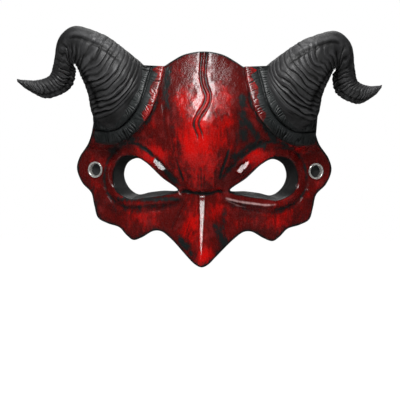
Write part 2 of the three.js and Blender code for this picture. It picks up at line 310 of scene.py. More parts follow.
def isInside(points, loop):
    after = np.roll(loop, -1, axis=0)
    inside = np.zeros(len(points), bool)
    for low in range(0, len(points), 4000):
        x, z = points[low:low + 4000, 0][:, None], points[low:low + 4000, 1][:, None]
        crosses = (loop[:, 1] > z) != (after[:, 1] > z)
        rise = np.where(after[:, 1] == loop[:, 1], 1e-9, after[:, 1] - loop[:, 1])
        at = loop[:, 0] + (z - loop[:, 1]) / rise * (after[:, 0] - loop[:, 0])
        inside[low:low + 4000] = (crosses & (x < at)).sum(axis=1) % 2 == 1
    return inside


def grown(loop, distance):
    # the loop moved outwards by distance, or inwards when that is below nothing
    run = np.roll(loop, -1, axis=0) - np.roll(loop, 1, axis=0)
    run /= np.linalg.norm(run, axis=1)[:, None]
    after = np.roll(loop, -1, axis=0)
    turn = np.sign((loop[:, 0] * after[:, 1] - after[:, 0] * loop[:, 1]).sum())
    return loop + turn * distance * np.column_stack([run[:, 1], -run[:, 0]])


# face shell

shell = {
    "halfWidth": 91.5,
    "foreheadTop": 85.3,
    "noseDrop": 68.3,
    "leftSpread": 1.5,
    "leftWingSpread": 1.2,
    "wall": 3,
    "depth": 50,
    "edgeDepth": 3,
    "foreheadSwell": 20,
    "noseSwell": 25,
    "hornSeatSwell": 16,
    "hornSeatReach": 38,
    "ledge": 28.4,  # the shell's top edge over the horn's seat
    "crownFall": 14,  # how far the top of the forehead stands back
    "browReach": 38,
    "bridgeSwell": 5,
    "cheek": (47, -33, 14, 5),  # out, up, reach, height
    "thickest": 1.8,  # most the wall grows along the line of view where the face is steep
    "edgeRoll": 1.5,
    "rollSteps": [0.1, 0.35, 0.8, 1.45],  # rings of points in from an edge that rolls over
    "lipRoll": 1.2,
    "latticeStep": 0.66,
    "innerStep": 2.2,
    "edgeStep": 0.85,
}
eye = {
    "spacing": 77,
    "level": -4,
    "rimWall": 2.6,
    "rimDepth": 10,
    "rimRows": 12,
    # the hole through the back of the rim, and the wider lip on the face, knot for knot
    "hole": [(-19.8, -10), (-8.5, -1.4), (3.1, 9.2), (10.5, 12.6), (17.4, 9.2), (20.2, 0.8),
             (17, -8), (9.5, -13.4), (0.5, -11.8), (-9, -10.6)],
    "lip": [(-20.2, -10.4), (-8.6, -1.2), (3.1, 9.5), (11.5, 13.7), (22.4, 12.2), (27.9, 1.6),
            (26.2, -9.6), (15.2, -16.4), (2.4, -15.2), (-9.7, -13.4)],
}
eyelet = {
    "x": 80,
    "depth": 8,
    "angle": 25,
    "hole": 5.2,
    "seatHalf": 12.5,
    "seatFade": 8,
}
horn = {"x": 60.5, "level": 46}
lid = {"drop": 27}


def plainDepth(x):
    across = np.maximum(np.cos(np.pi / 2 * np.abs(x) / (shell["halfWidth"] + 3.5)), 0)
    return shell["edgeDepth"] + (shell["depth"] - shell["edgeDepth"]) * across ** 1.35


def faceDepth(x, z):
    u = np.abs(x)
    depth = plainDepth(x)
    depth = depth - shell["crownFall"] * smooth((z - 30) / 60) * (depth / shell["depth"])
    fromSeat = np.hypot(u - horn["x"], z - horn["level"])
    depth = depth + shell["hornSeatSwell"] * hump(fromSeat, shell["hornSeatReach"])
    overLid = smooth((z - (eye["level"] - lid["drop"] + 0.78 * u) + 2) / 11)
    upBrow = smooth((z + 22) / 36)
    leanBack = 1 - 0.5 * smooth((z - 20) / 65)
    brow = overLid * upBrow * leanBack * hump(u, shell["browReach"])
    depth = depth + shell["foreheadSwell"] * brow
    downNose = smooth((-10 - z) / (shell["noseDrop"] - 10))
    bridge = shell["bridgeSwell"] + (shell["noseSwell"] - shell["bridgeSwell"]) * downNose
    depth = depth + bridge * hump(u, 9 + 8 * downNose) * (1 - upBrow)
    out, up, reach, tall = shell["cheek"]
    depth = depth + tall * hump(np.hypot(u - out, z - up), reach)
    seat = eyelet["x"] - eyelet["seatHalf"] - eyelet["seatFade"]
    inward = smooth((u - seat) / eyelet["seatFade"])
    level = 1 - smooth((np.abs(z) - eyelet["seatHalf"]) / eyelet["seatFade"])
    flat = eyelet["depth"] - math.tan(math.radians(eyelet["angle"])) * (u - eyelet["x"])
    return depth + (flat - depth) * inward * level


def wallAcross(x, z):
    slopeX = (faceDepth(x + 2, z) - faceDepth(x - 2, z)) / 4
    slopeZ = (faceDepth(x, z + 2) - faceDepth(x, z - 2)) / 4
    return shell["wall"] * np.minimum(np.sqrt(1 + slopeX ** 2 + slopeZ ** 2), shell["thickest"])


def shellOutline():
    wing, top, nose = shell["halfWidth"], shell["foreheadTop"], -shell["noseDrop"]
    side, seat = horn["x"], horn["level"]
    ledge = seat + shell["ledge"]
    right = [
        (0, top), (13, top - 2.2), (22, top - 7), (side - 32, ledge), (side - 24.5, ledge),
        (side - 14.5, ledge + 0.2), (side - 2.5, ledge - 0.6), (side + 7.5, ledge - 7),
        (side + 14.5, seat + 10), (side + 17.5, seat - 2),
        (side + 18.3, seat - 13), (wing - 9.5, 20.5), (wing - 2.2, 9.5), (wing, 1),
        (wing - 4, -9.5), (wing - 11, -17), (wing - 13.2, -26), (wing - 16, -35),
        (wing - 23, -38.9), (60, -41.6), (54.6, -47), (49.5, -50.4), (43.4, -48.5),
        (34.3, -43.5), (28.9, -43.7), (21.8, -48.8), (9.4, nose + 7), (4.4, nose + 1.9),
    ]
    left = []
    for x, z in right[:0:-1]:
        wider = shell["leftSpread"] * smooth(x / 12)
        wider += shell["leftWingSpread"] * smooth((x - 60) / 25)
        left.append((-x - wider, z))
    loop = splineThrough(right + [(0, nose)] + left, 24, closed=True)
    return evenly(loop, int(lengthOf(loop) / shell["edgeStep"]), closed=True)


def eyeLoop(kind, side, count=150):
    knots = [(side * (eye["spacing"] / 2 + x), eye["level"] + z) for x, z in eye[kind]]
    return splineThrough(knots, count // len(knots), closed=True)


def eyeletLoop(side, back, count=40):
    # where the hole for the eyelet meets the flat temple, back being how far behind its face
    turn = math.radians(eyelet["angle"])
    angle = np.linspace(0, 2 * np.pi, count, endpoint=False)
    centre = eyelet["x"] - math.sin(turn) * back
    x = centre + eyelet["hole"] * math.cos(turn) * np.cos(angle)
    return np.column_stack([side * x, eyelet["hole"] * np.sin(angle)])


# Raised and sunk lines on the face: knots, height (a groove's is below nothing), half width,
# how dark it is painted in it, black wash together with painted shade in the groove. Lines in
# "both" are on the two sides.
creases = {
    "middle": [
        ([(-18, -17), (-13, -14.6), (-8.5, -15.6), (-1, -16.2), (6.5, -15.8), (11, -14.4),
          (16, -17)], -2.2, 1.25, 1.0),
        ([(-12, -10.5), (-1, -12.8), (10, -10.5)], 1.2, 2.0, 0.0),
        ([(-3.6, 0), (-3.4, -7), (-3.7, -13.5)], -0.75, 0.5, 0.6),
        ([(-1.2, 4), (-1.3, -6), (-1.2, -13.5)], -0.7, 0.5, 0.7),
        ([(1.2, -1), (0.9, -8), (1.3, -13.5)], -0.75, 0.5, 0.6),
        ([(6.6, -4), (5.6, -9), (6, -13)], -0.5, 0.6, 0.5),
        ([(18.6, 17), (16.2, 8), (13, -0.5), (11.6, -8)], -1.3, 0.85, 1.3),
        ([(-18.9, 8), (-16.6, 0), (-13.6, -9)], -0.9, 0.7, 0.9),
        ([(-11, -20.7), (-14.2, -27), (-18.2, -36), (-21.6, -44.8)], 1.1, 0.9, 0.0),
        ([(-13.4, -21.5), (-16.4, -28), (-20.4, -37), (-23.4, -44)], -0.8, 0.9, 0.5),
        ([(13, -22), (17, -30), (21, -38)], 0.5, 1.0, 0.0),
        ([(11.6, -11), (15, -3.4), (21.8, 4.6), (28, 10.6), (37, 17), (45, 20.6), (55, 20),
          (63, 16), (69, 8)], -1.3, 1.7, 0.8),
        ([(-12.4, -13), (-16, -10.6), (-20.6, -6.2), (-26, -0.4), (-30.6, 5), (-36, 10.4),
          (-44, 16.6), (-53, 19.4), (-62, 17), (-69, 9)], -1.3, 1.7, 0.85),
        ([(24.5, -2), (28.4, 2.6), (33, 8)], 1.7, 2.8, 0.0),
        ([(-25, -3.6), (-30.5, 1.8), (-37.5, 8.6)], 1.5, 2.0, 0.0),
        ([(36, 9), (44, 14.6), (53, 16)], 0.9, 2.4, 0.0),
        ([(-40, 12), (-48, 16), (-56, 15.4)], 0.8, 2.2, 0.0),
        ([(-9.6, -1), (-8.6, -7), (-9, -13)], -0.6, 0.6, 0.6),
        ([(10, 2), (8.4, -5), (8.8, -12)], -0.6, 0.6, 0.6),
        ([(-24.5, 42), (-23, 26), (-19.5, 10)], -0.6, 1.0, 0.5),
        ([(-29, 50), (-28, 36), (-26, 20)], -0.5, 1.2, 0.4),
        ([(23, 32), (24, 20), (21, 6)], -0.6, 1.3, 0.5),
    ],
    "both": [
        ([(9.5, -15.4), (14.6, -18.9), (24.7, -22), (35, -23.6), (45, -24.9), (56, -24.6),
          (64, -19.6), (70, -9)], 1.5, 1.7, 0.0),
        ([(12, -22), (24.7, -26), (38, -29), (54, -29.4), (65, -24.4), (72, -15)], -1.1, 1.7, 0.5),
        ([(32, 60), (33, 50), (38, 38), (49, 24)], -0.9, 1.8, 0.7),
    ],
}
# Small flats on the brows and lids that catch the key light: from, to, half width, how far
# each is levelled.
glints = [
    ((-34.4, 6), (-29.8, 1.6), 2.9, 1.0),
    ((26, 0.4), (31, 5.4), 2.7, 1.0),
    ((-18.6, -14.2), (-16.6, -17), 0.7, 0.6),
]
glintFlat = {
    "slope": 0.41,  # how steeply the flats lean back
    "proud": 1.2,
    "ragged": 0.8,
    "edge": 1.6,
}
# Pale rubbed paint along ridges, also a painted highlight there: knots, half width, strength.
rubAndHighlightLines = [
    ([(11, -16.4), (16, -19.4), (26, -22), (36, -23.4), (46, -24.4), (56, -23.6)], 1.1, 0.75),
    ([(13, -19), (24, -24.6), (34, -26.4)], 0.8, 0.5),
    ([(-16.2, -18), (-18.6, -14)], 0.7, 0.6),
    ([(-11.4, -21), (-14.4, -27.4), (-18.4, -36)], 0.5, 0.35),
    ([(66, -14), (69.4, -4), (68.6, 6)], 0.7, 0.4),
    ([(-67, -14), (-70.4, -4), (-69.4, 6)], 0.7, 0.35),
]
noseRidge = {
    "x": -0.6,
    "top": -17.5,
    "foot": -66,
    "topWidth": 5,
    "footWidth": 1.7,
    "height": 0.7,
}
vein = {
    "knots": [(0.1, 88), (-0.2, 81.7), (-0.9, 68), (0.7, 60.3), (3.3, 53.5), (2, 46.8), (-2.8, 39),
              (-4.7, 33.3), (-2.3, 25.6), (-1.2, 20)],
    "height": 1.0,
    "width": 0.8,
    "grooveAt": 1.75,
    "grooveDepth": 1.35,
    "grooveWidth": 0.62,
}
# Dry-brushed black: start, end, half width, strength.
strokes = [
    ((27.5, 52), (29, 24), 4.6, 0.85), ((30.5, 34), (43, 18), 4.2, 0.8),
    ((22, 10), (36, 19), 3.6, 0.85), ((19, 2), (27, 10), 3.2, 0.75),
    ((38, 44), (50, 24), 5, 0.9), ((33, 62), (37, 42), 3.5, 0.6),
    ((24, 74), (31, 66), 3.6, 0.55), ((52, 22), (66, 18), 3, 0.5),
    ((70, 20), (80, 18), 5, 0.45), ((10, -40), (17, -56), 4.6, 0.85),
    ((15, -28), (14, -42), 3, 0.6), ((24, -30), (40, -33), 2.6, 0.45),
    ((20, -22), (44, -27), 2, 0.5), ((62, -30), (76, -36), 4, 0.4),
    ((-21, -7.5), (-34, 8), 2.6, 0.95), ((-27, 80), (-27, 46), 4.4, 0.8),
    ((-24, 44), (-20, 24), 1.8, 0.6), ((-18, 20), (-16, 10), 2, 0.5),
    ((-68, 14), (-52, 22), 4.2, 0.9), ((-52, 22), (-38, 24), 2.6, 0.5),
    ((-34, 62), (-42, 36), 3.2, 0.7), ((-62, -21), (-18, -20.5), 2.4, 0.85),
    ((-58, -27), (-24, -25), 2.6, 0.6), ((-16, -49), (-7, -60), 4.4, 0.8),
    ((-80, 26), (-66, 16), 5, 0.55), ((-76, -22), (-62, -30), 4, 0.45),
    ((12, 14), (10, -6), 2.4, 0.45), ((-12, 4), (-10, -8), 2.6, 0.45),
    ((36, 6), (23, -6), 1.2, 0.4),
]
# Where the red is thick and bright: centre, reach across and up, strength.
glows = [
    ((-2, 22), (17, 34), 1.0), ((-14, 46), (6, 14), 0.8), ((15, 44), (7, 16), 0.6),
    ((-36, 10), (14, 8), 1.0), ((38, 10), (14, 8), 0.95), ((-6, -42), (9, 20), 0.6),
    ((4, -62), (8, 8), 0.9), ((-44, -33), (18, 9), 0.42), ((46, -36), (20, 10), 0.45),
    ((-78, -2), (10, 12), 0.4), ((78, -2), (10, 12), 0.35), ((66, 18), (10, 8), 0.5),
    ((-66, 24), (8, 8), 0.4), ((12, -28), (8, 10), 0.5),
]


def raiseCreases(points):
    height, wash = np.zeros(len(points)), np.zeros(len(points))
    lines = creases["middle"] + creases["both"]
    lines += [([(-a, b) for a, b in knots], *rest) for knots, *rest in creases["both"]]
    for knots, tall, width, dark in lines:
        distance, share = distanceTo(points, splineThrough(knots, 8))
        ends = window(share, 0, 0.14, 1, 0.14)
        height += tall * hump(distance, width) * ends
        # darkness in each crease: black wash and painted shade in the groove
        wash = np.maximum(wash, dark * hump(distance, width * 1.15) * ends)
    # the vein's two grooves are darkened the same way, black wash and painted shade
    distance, share = distanceTo(points, splineThrough(vein["knots"], 12))
    end = smooth((1 - share) / 0.12)
    side = hump(distance - vein["grooveAt"], vein["grooveWidth"])
    crest = vein["height"] * hump(distance, vein["width"])
    return height + end * (crest - vein["grooveDepth"] * side), np.maximum(wash, 0.95 * end * side)


def levelNose(x, z, height):
    # the ridge down the nose is flat across, with a narrower foot than top
    ridge = noseRidge
    down = np.clip((ridge["top"] - z) / (ridge["top"] - ridge["foot"]), 0, 1)
    width = ridge["topWidth"] + (ridge["footWidth"] - ridge["topWidth"]) * down
    crest = fade(np.abs(x - ridge["x"]) - width / 2 + 0.3, 1.1)
    crest *= smooth((ridge["top"] + 1.5 - z) / 3) * smooth((z - ridge["foot"]) / 4)
    level = faceDepth(np.full(len(x), ridge["x"]), z) - faceDepth(x, z)
    return crest * (ridge["height"] + level - 0.8 * height)


def relief(points):
    # height over the face's plain form, and the masks its paint follows, painted shade and painted
    # highlights among them
    x, z = points.T
    height = 0.34 * softNoise(x / 11, z / 14, 3) + 0.16 * softNoise(x / 4, z / 6, 4)
    height += 0.07 * softNoise(x / 1.6, z / 2.6, 5)
    raised, wash = raiseCreases(points)
    height += raised
    height += levelNose(x, z, height)
    for start, end, width, strength in glints:
        distance, _ = distanceTo(points, np.array([start, end], float))
        middleX, middleZ = (np.array(start) + end)[:, None] / 2
        flat = faceDepth(middleX, middleZ) + glintFlat["proud"]
        flat = flat - glintFlat["slope"] * (z - middleZ)
        ragged = distance + glintFlat["ragged"] * softNoise(x / 1.4, z / 1.4, 6)
        near = strength * fade(ragged - width + glintFlat["ragged"], glintFlat["edge"])
        height += near * (flat - faceDepth(x, z) - height)
    for start, end, width, strength in strokes:
        distance, _ = distanceTo(points, np.array([start, end], float))
        wash = np.maximum(wash, strength * fade(distance, width * 1.7))
    bright, rubAndHighlight = np.zeros(len(points)), np.zeros(len(points))
    for (cx, cz), (across, up), strength in glows:
        away = np.hypot((x - cx) / across, (z - cz) / up)
        bright = np.maximum(bright, strength * hump(away, 1))
    # pale lines along ridges: rubbed paint, and a painted highlight there too
    for knots, width, strength in rubAndHighlightLines:
        distance, share = distanceTo(points, splineThrough(knots, 8))
        along = window(share, 0, 0.2, 1, 0.2)
        rubAndHighlight = np.maximum(rubAndHighlight, strength * hump(distance, width) * along)
    return height, wash, bright, rubAndHighlight


def ringsInside(loop, distances, away):
    rows = []
    for distance in distances:
        ring = grown(loop, away * distance)
        gap, where = distanceTo(ring, loop, closed=True)
        rows.append(ring[gap > 0.88 * distance])
    return np.vstack(rows)


def lattice(step, outline, holes, clear):
    across = np.arange(-shell["halfWidth"], shell["halfWidth"] + step, step)
    up = np.arange(-shell["noseDrop"], shell["foreheadTop"] + step, step * 0.866)
    grid = np.array([(x + (row % 2) * step / 2, z) for row, z in enumerate(up) for x in across])
    grid = grid[isInside(grid, outline)]
    for hole in holes:
        grid = grid[~isInside(grid, hole)]
    for loop, gap in zip([outline] + holes, clear):
        distance, where = distanceTo(grid, loop, closed=True)
        grid = grid[distance > gap]
    return grid


def fillBetween(outline, holes, extras):
    # triangles over the outline less its holes; the loops' points come first, in order
    loops = [outline] + holes
    points = np.vstack(loops + extras)
    edges, first = [], 0
    for loop in loops:
        edges += [(first + i, first + (i + 1) % len(loop)) for i in range(len(loop))]
        first += len(loop)
    found = delaunay_2d_cdt([Vector(p) for p in points.tolist()], edges, [], 0, 1e-6, True)
    places = np.array([tuple(v) for v in found[0]])
    triangles = np.array([f for f in found[2] if len(f) == 3])
    middle = places[triangles].mean(axis=1)
    keep = isInside(middle, outline)
    for hole in holes:
        keep &= ~isInside(middle, hole)
    triangles = triangles[keep]
    a, b, c = (places[triangles[:, k]] for k in range(3))
    area = (b[:, 0] - a[:, 0]) * (c[:, 1] - a[:, 1]) - (b[:, 1] - a[:, 1]) * (c[:, 0] - a[:, 0])
    triangles[area < 0] = triangles[area < 0][:, ::-1]
    triangles = triangles[np.abs(area) > 1e-9]
    home = {}
    for k, sources in enumerate(found[3]):
        for source in sources:
            home.setdefault(source, k)
    loopPlaces = [home[i] for i in range(first)]
    return places, triangles, loopPlaces


def quads(first, second):
    ahead = [k + 1 for k in range(len(first) - 1)] + [0]
    return [(first[i], first[k], second[k], second[i]) for i, k in enumerate(ahead)]


def roundedOff(gap, reach):
    # height of a quarter circle of that reach, from 0 at the edge to 1 where it ends
    return np.sqrt(1 - (1 - np.clip(gap / reach, 0, 1)) ** 2)


def paintEdges(x, z, edgeGap, lipGap, height, wash):
    # raised rims round the outer half of each eye, calm seats for the eyelets, dark edges, and
    # painted shade in the groove outside each eye's rim
    outerEye = smooth((np.abs(x) - 42) / 14) * fade(np.abs(x) - 78, 6)
    height = height + outerEye * (1.3 * hump(lipGap - 2.3, 1.5) - hump(lipGap - 6.6, 1.7))
    for side in (1, -1):
        height = height * smooth((np.hypot(x - side * eyelet["x"], z) - 6.6) / 3)
    # the first is painted shade in the groove outside each eye's rim; the rest darken edges and
    # lips
    darker = (outerEye * 0.75 * hump(lipGap - 6.8, 1.5), 0.95 * fade(edgeGap - 0.5, 1.6),
              0.55 * fade(edgeGap, 7), 0.9 * fade(lipGap - 0.3, 1.1))
    for more in darker:
        wash = np.maximum(wash, more)
    return height * smooth(edgeGap / 1.5 + 0.15), wash


def makeFront(outline, lips, holes):
    steps = shell["rollSteps"]
    extras = [ringsInside(outline, steps, -1)] + [ringsInside(lip, steps, 1) for lip in lips]
    clear = [1.9, 1.9, 1.9, 0.4, 0.4]
    extras.append(lattice(shell["latticeStep"], outline, lips + holes, clear))
    spots, faces, loops = fillBetween(outline, lips + holes, extras)
    x, z = spots.T
    height, wash, bright, rubAndHighlight = relief(spots)
    edgeGap = distanceTo(spots, outline, closed=True)[0]
    lipGap = np.minimum(*(distanceTo(spots, lip, closed=True)[0] for lip in lips))
    height, wash = paintEdges(x, z, edgeGap, lipGap, height, wash)
    back = wallAcross(x, z) / 2 * (1 - roundedOff(edgeGap, shell["edgeRoll"]))
    back += shell["lipRoll"] * (1 - roundedOff(lipGap, shell["lipRoll"]))
    front = np.column_stack([x, back - faceDepth(x, z) - height, z])
    return front, faces, loops, {"wash": wash, "bright": bright, "rubAndHighlight": rubAndHighlight}


def makeBack(outline, sleeves, holes):
    extras = [ringsInside(outline, [0.35, 1.2], -1)]
    clear = [2.4, 1.2, 1.2, 1.2, 1.2]
    extras.append(lattice(shell["innerStep"], outline, sleeves + holes, clear))
    spots, faces, loops = fillBetween(outline, sleeves + holes, extras)
    x, z = spots.T
    gap = distanceTo(spots, outline, closed=True)[0]
    back = wallAcross(x, z) / 2 * (1 + roundedOff(gap, shell["edgeRoll"]))
    return np.column_stack([x, back - faceDepth(x, z), z]), faces, loops


def makeFaceShell():
    # front and back skins share the outline's points; rim walls join them at the eyes and eyelets
    outline = shellOutline()
    lips, backs = ([eyeLoop(kind, side) for side in (1, -1)] for kind in ("lip", "hole"))
    frontHoles, rearHoles = (
        [eyeletLoop(side, back) for side in (1, -1)] for back in (0, shell["wall"]))
    front, outerFaces, outerLoops, painted = makeFront(outline, lips, frontHoles)
    sleeves = [grown(lip, eye["rimWall"]) for lip in lips]
    rear, innerFaces, innerLoops = makeBack(outline, sleeves, rearHoles)
    print("face front:", len(front), "points")

    shift = len(front)
    points, faces = [front, rear], [tuple(f) for f in outerFaces.tolist()]
    shared = {innerLoops[i] + shift: outerLoops[i] for i in range(len(outline))}
    for face in innerFaces.tolist():
        faces.append(tuple(shared.get(k + shift, k + shift) for k in face[::-1]))
    masks = {name: [values, np.zeros(len(rear))] for name, values in painted.items()}
    masks["inside"] = [np.zeros(shift), np.ones(len(rear))]
    used = len(outline)

    def addRow(row, place, depth, inside):
        # one more ring of rim wall, joined to the last
        first = sum(len(part) for part in points)
        points.append(np.column_stack([place[:, 0], depth, place[:, 1]]))
        for name, value in (("wash", 1.3), ("bright", 0), ("rubAndHighlight", 0), ("inside", inside)):
            masks[name].append(np.full(len(place), float(value)))
        added = list(range(first, first + len(place)))
        faces.extend(quads(row, added))
        return added

    for lip, hole in zip(lips + frontHoles, backs + [None, None]):
        row = outerLoops[used:used + len(lip)]
        foot = [k + shift for k in innerLoops[used:used + len(lip)]]
        used += len(lip)
        if hole is not None:
            top, low = front[row][:, 1], eye["rimDepth"] - plainDepth(hole[:, 0])
            for t in np.arange(1, eye["rimRows"] + 1) / eye["rimRows"]:
                place = lip + (hole - lip) * t ** 1.15
                row = addRow(row, place, top + (low - 0.8 - top) * t, 0.75)
            wall = eye["rimWall"]
            for across, drop in ((0.25, -0.2), (0.8, 0), (wall - 0.6, 0), (wall, -0.7)):
                row = addRow(row, grown(hole, across), low + drop, 1)
        faces += quads(row, foot)
    piece = meshObject("faceShell", np.vstack(points), faces)
    for name, parts in masks.items():
        addMask(piece, name, np.concatenate(parts))
    form = bmesh.new()
    form.from_mesh(piece.data)
    loose = [v for v in form.verts if not v.link_faces]
    bmesh.ops.delete(form, geom=loose, context="VERTS")
    bmesh.ops.recalc_face_normals(form, faces=form.faces)
    print("face shell:", len(form.faces), "faces,",
          sum(not e.is_manifold for e in form.edges), "open edges")
    form.to_mesh(piece.data)
    form.free()
    return piece


faceShell = makeFaceShell()

# horns

horn.update({
    # outer edge x and z, inner edge x and z, middle depth, half thickness, lean
    "sections": [
        (-24.5, 21, 9.5, -19, -25, 19, 0.5), (-14, 31.5, 19.5, -7, -34, 20, 0.5),
        (-6.1, 37.3, 22.2, 4.5, -38, 20, 0.42), (2.5, 43.5, 25.2, 12.8, -38.5, 18.5, 0.3),
        (12.2, 49.2, 28.4, 20, -37, 17, 0.15), (32.4, 55, 32.3, 27.5, -30, 12, 0),
        (44.1, 46, 33.1, 26.5, -23, 9, 0), (47.1, 29, 31, 22.8, -17, 8, 0),
        (49.5, 19.5, 33.8, 10.6, -11.5, 7.2, 0), (57.5, 16.2, 48.5, 2.9, -9, 5.8, 0),
        (63.5, 16.2, 61, 8.6, -8.3, 3.4, 0), (67.1, 17, 66.7, 14.8, -8, 1, 0),
    ],
    "perSpan": 40,
    "sides": 104,
    "leftSpread": 10.2,
    "leftLift": 2.6,
    "wrinkleGap": 3.1,
    "wrinkleHeight": 2.6,
    "partingAt": 0.5,  # across the front, 1 at the upper edge and -1 at the lower
    "partingDepth": 1.5,
    "sink": 0.6,
})


def restOnFace(points, sink):
    # nothing goes further back than just inside the face's outer surface
    x, y, z = points.T
    limit = -faceDepth(x, z) + sink
    over = (np.abs(x) < 97.5) & (z < shell["foreheadTop"] + 6)
    return np.column_stack([x, np.where(over, np.minimum(y, limit), y), z])


def tube(rows, sides, first=0):
    # faces of rows of points joined in order, closed at both ends by a middle point
    faces = []
    for r in range(rows - 1):
        for s in range(sides):
            a, b = first + r * sides + s, first + r * sides + (s + 1) % sides
            faces.append((a, b, b + sides, a + sides))
    hub = first + rows * sides
    for s in range(sides):
        faces.append((hub, first + (s + 1) % sides, first + s))
        last = first + (rows - 1) * sides
        faces.append((hub + 1, last + s, last + (s + 1) % sides))
    return faces


def makeHorn(name, side):
    track = splineThrough(horn["sections"], horn["perSpan"], even=True)
    rows, sides = len(track), horn["sides"]
    t = np.linspace(0, 1, rows)
    angle = np.linspace(0, 2 * np.pi, sides, endpoint=False)
    out, inn = track[:, 0:2], track[:, 2:4]
    middle = (out + inn) / 2
    middle = middle + np.array([horn["x"], horn["level"]])
    if side < 0:
        middle[:, 0] += horn["leftSpread"] * t ** 3
        middle[:, 1] += horn["leftLift"] * smooth(2 * t)
    toOuter = (out - inn) / 2
    reach = np.linalg.norm(toOuter, axis=1)
    forward = np.column_stack([toOuter[:, 1], -toOuter[:, 0]]) / reach[:, None]
    half, lean = np.maximum(track[:, 5], 0.4), track[:, 6]

    belly = inn * 0.75 + out * 0.25
    run = np.concatenate([[0], np.cumsum(np.linalg.norm(np.diff(belly, axis=0), axis=1))])[:, None]
    share = t[:, None]
    across = np.cos(angle)[None]  # 1 at the upper edge, -1 at the lower
    front = smooth(0.5 - np.sin(angle) * 1.2)[None]
    wander = 0.5 * softNoise(run / 10, angle * 1.3 + 5, 11 + side)
    wander = wander + 0.3 * softNoise(run / 3, angle * 2.6, 12 + side)
    phase = run / horn["wrinkleGap"] + wander + 0.35 * across
    fold = np.sin(np.pi * (phase - np.floor(phase))) ** 0.6
    number = np.floor(phase)
    strength = 0.62 + 0.5 * softNoise(number * 0.73, angle * 1.1, 13)
    second = phase * 1.9 + 0.6 * softNoise(run / 4, angle * 1.7, 14)
    fine = smooth(1 - np.abs(2 * (second - np.floor(second)) - 1))
    below = smooth((horn["partingAt"] + 0.02 - across) / 0.18)
    # the top of the bend is smooth
    bend = hump(share - 0.47, 0.07) * smooth((across + 0.35) / 0.5)
    along = smooth((share - 0.05) / 0.06) * (1 - 0.5 * smooth((share - 0.9) / 0.1))
    amount = along * (1 - 0.92 * bend) * (0.35 + 0.65 * below) * strength * (0.45 + 0.55 * front)
    amount = amount * np.clip(reach[:, None] / 14, 0.35, 1)
    lift = horn["wrinkleHeight"] * amount * (fold - 0.75) + 0.7 * amount * (fine - 0.5)
    partingAt = horn["partingAt"] + 0.12 * np.sin(share * 9)
    partingAt = partingAt + 0.05 * softNoise(run / 9, 0 * angle, 15)
    partly = front * window(share, 0.2, 0.08, 0.5, 0.04)
    parting = hump(across - partingAt, 0.075) * partly
    ridge = hump(across - partingAt - 0.2, 0.12) * partly
    lift = lift - horn["partingDepth"] * parting + 0.5 * ridge
    edgeLine = hump(across + 0.87, 0.05) * front * window(share, 0.1, 0.05, 0.46, 0.05)
    innerLine = hump(across + 0.62, 0.1) * front * window(share, 0.56, 0.05, 0.93, 0.1)
    lift = lift - 0.9 * edgeLine - 0.7 * innerLine
    lift = lift + 0.22 * softNoise(run / 5, angle * 2.1, 16)
    lift = lift + 0.08 * softNoise(run / 1.4, angle * 6, 17)
    lift = lift * smooth((1 - share) / 0.03)

    size = reach[:, None] + lift
    thick = half[:, None] + lift * 0.9
    back = thick * np.sin(angle)[None]
    flat = middle[:, None, :] + (toOuter / reach[:, None])[:, None, :] * (size * across)[..., None]
    flat = flat + forward[:, None, :] * (back * lean[:, None])[..., None]
    points = np.column_stack([
        side * flat[..., 0].ravel(), (track[:, 4][:, None] + back).ravel(), flat[..., 1].ravel()])
    points = restOnFace(points, horn["sink"])
    grid = points.reshape(rows, sides, 3)
    points = np.vstack([points, grid[0].mean(axis=0), grid[-1].mean(axis=0)])
    piece = meshObject(name, points, tube(rows, sides))
    turnOutwards(piece)
    # the mask the paint follows: low in the wrinkles' grooves, which get painted shade, high on
    # their ridges, which get wear and a painted sheen
    groove = np.clip(0.6 + lift * 0.7, 0, 1) * np.ones((rows, sides))
    addMask(piece, "ridge", np.concatenate([groove.ravel(), [0.5, 0.5]]))
    return piece


rightHorn = makeHorn("rightHorn", 1)
leftHorn = makeHorn("leftHorn", -1)
print("horns:", len(rightHorn.data.polygons), "faces each")

# collars at the horns' feet

collar = {
    # from the horn's seat: out and up
    "outer": [(-32, 28.6), (-30.5, 20), (-26.7, 5), (-21.9, -6), (-10.1, -20.3), (4.9, -27.8),
              (19, -26.5)],
    "inner": [(-14, 29.4), (-10, 19), (-6.6, 5.5), (-0.9, -2.6), (6, -8), (20.5, -8)],
    # share of the way across, height above the face
    "section": [(0, -1.5), (0, 0.4), (0.01, 1.6), (0.04, 2.5), (0.1, 3.2), (0.2, 3.75),
                (0.33, 4.1), (0.42, 3.9), (0.47, 2.9), (0.5, 2.2), (0.525, 2.6), (0.55, 4.2),
                (0.6, 5.2), (0.7, 5.9), (0.85, 6.3), (0.96, 5.9), (1.01, 4.8), (1.06, 4.4),
                (1.3, 5.6), (1.34, 1), (1.3, -1.5)],
    "steps": 360,
    "creaseGap": 2.1,
    "creaseDepth": 1.15,
    "redUntil": 0.43,  # how far down from the top the outer band stays red
}


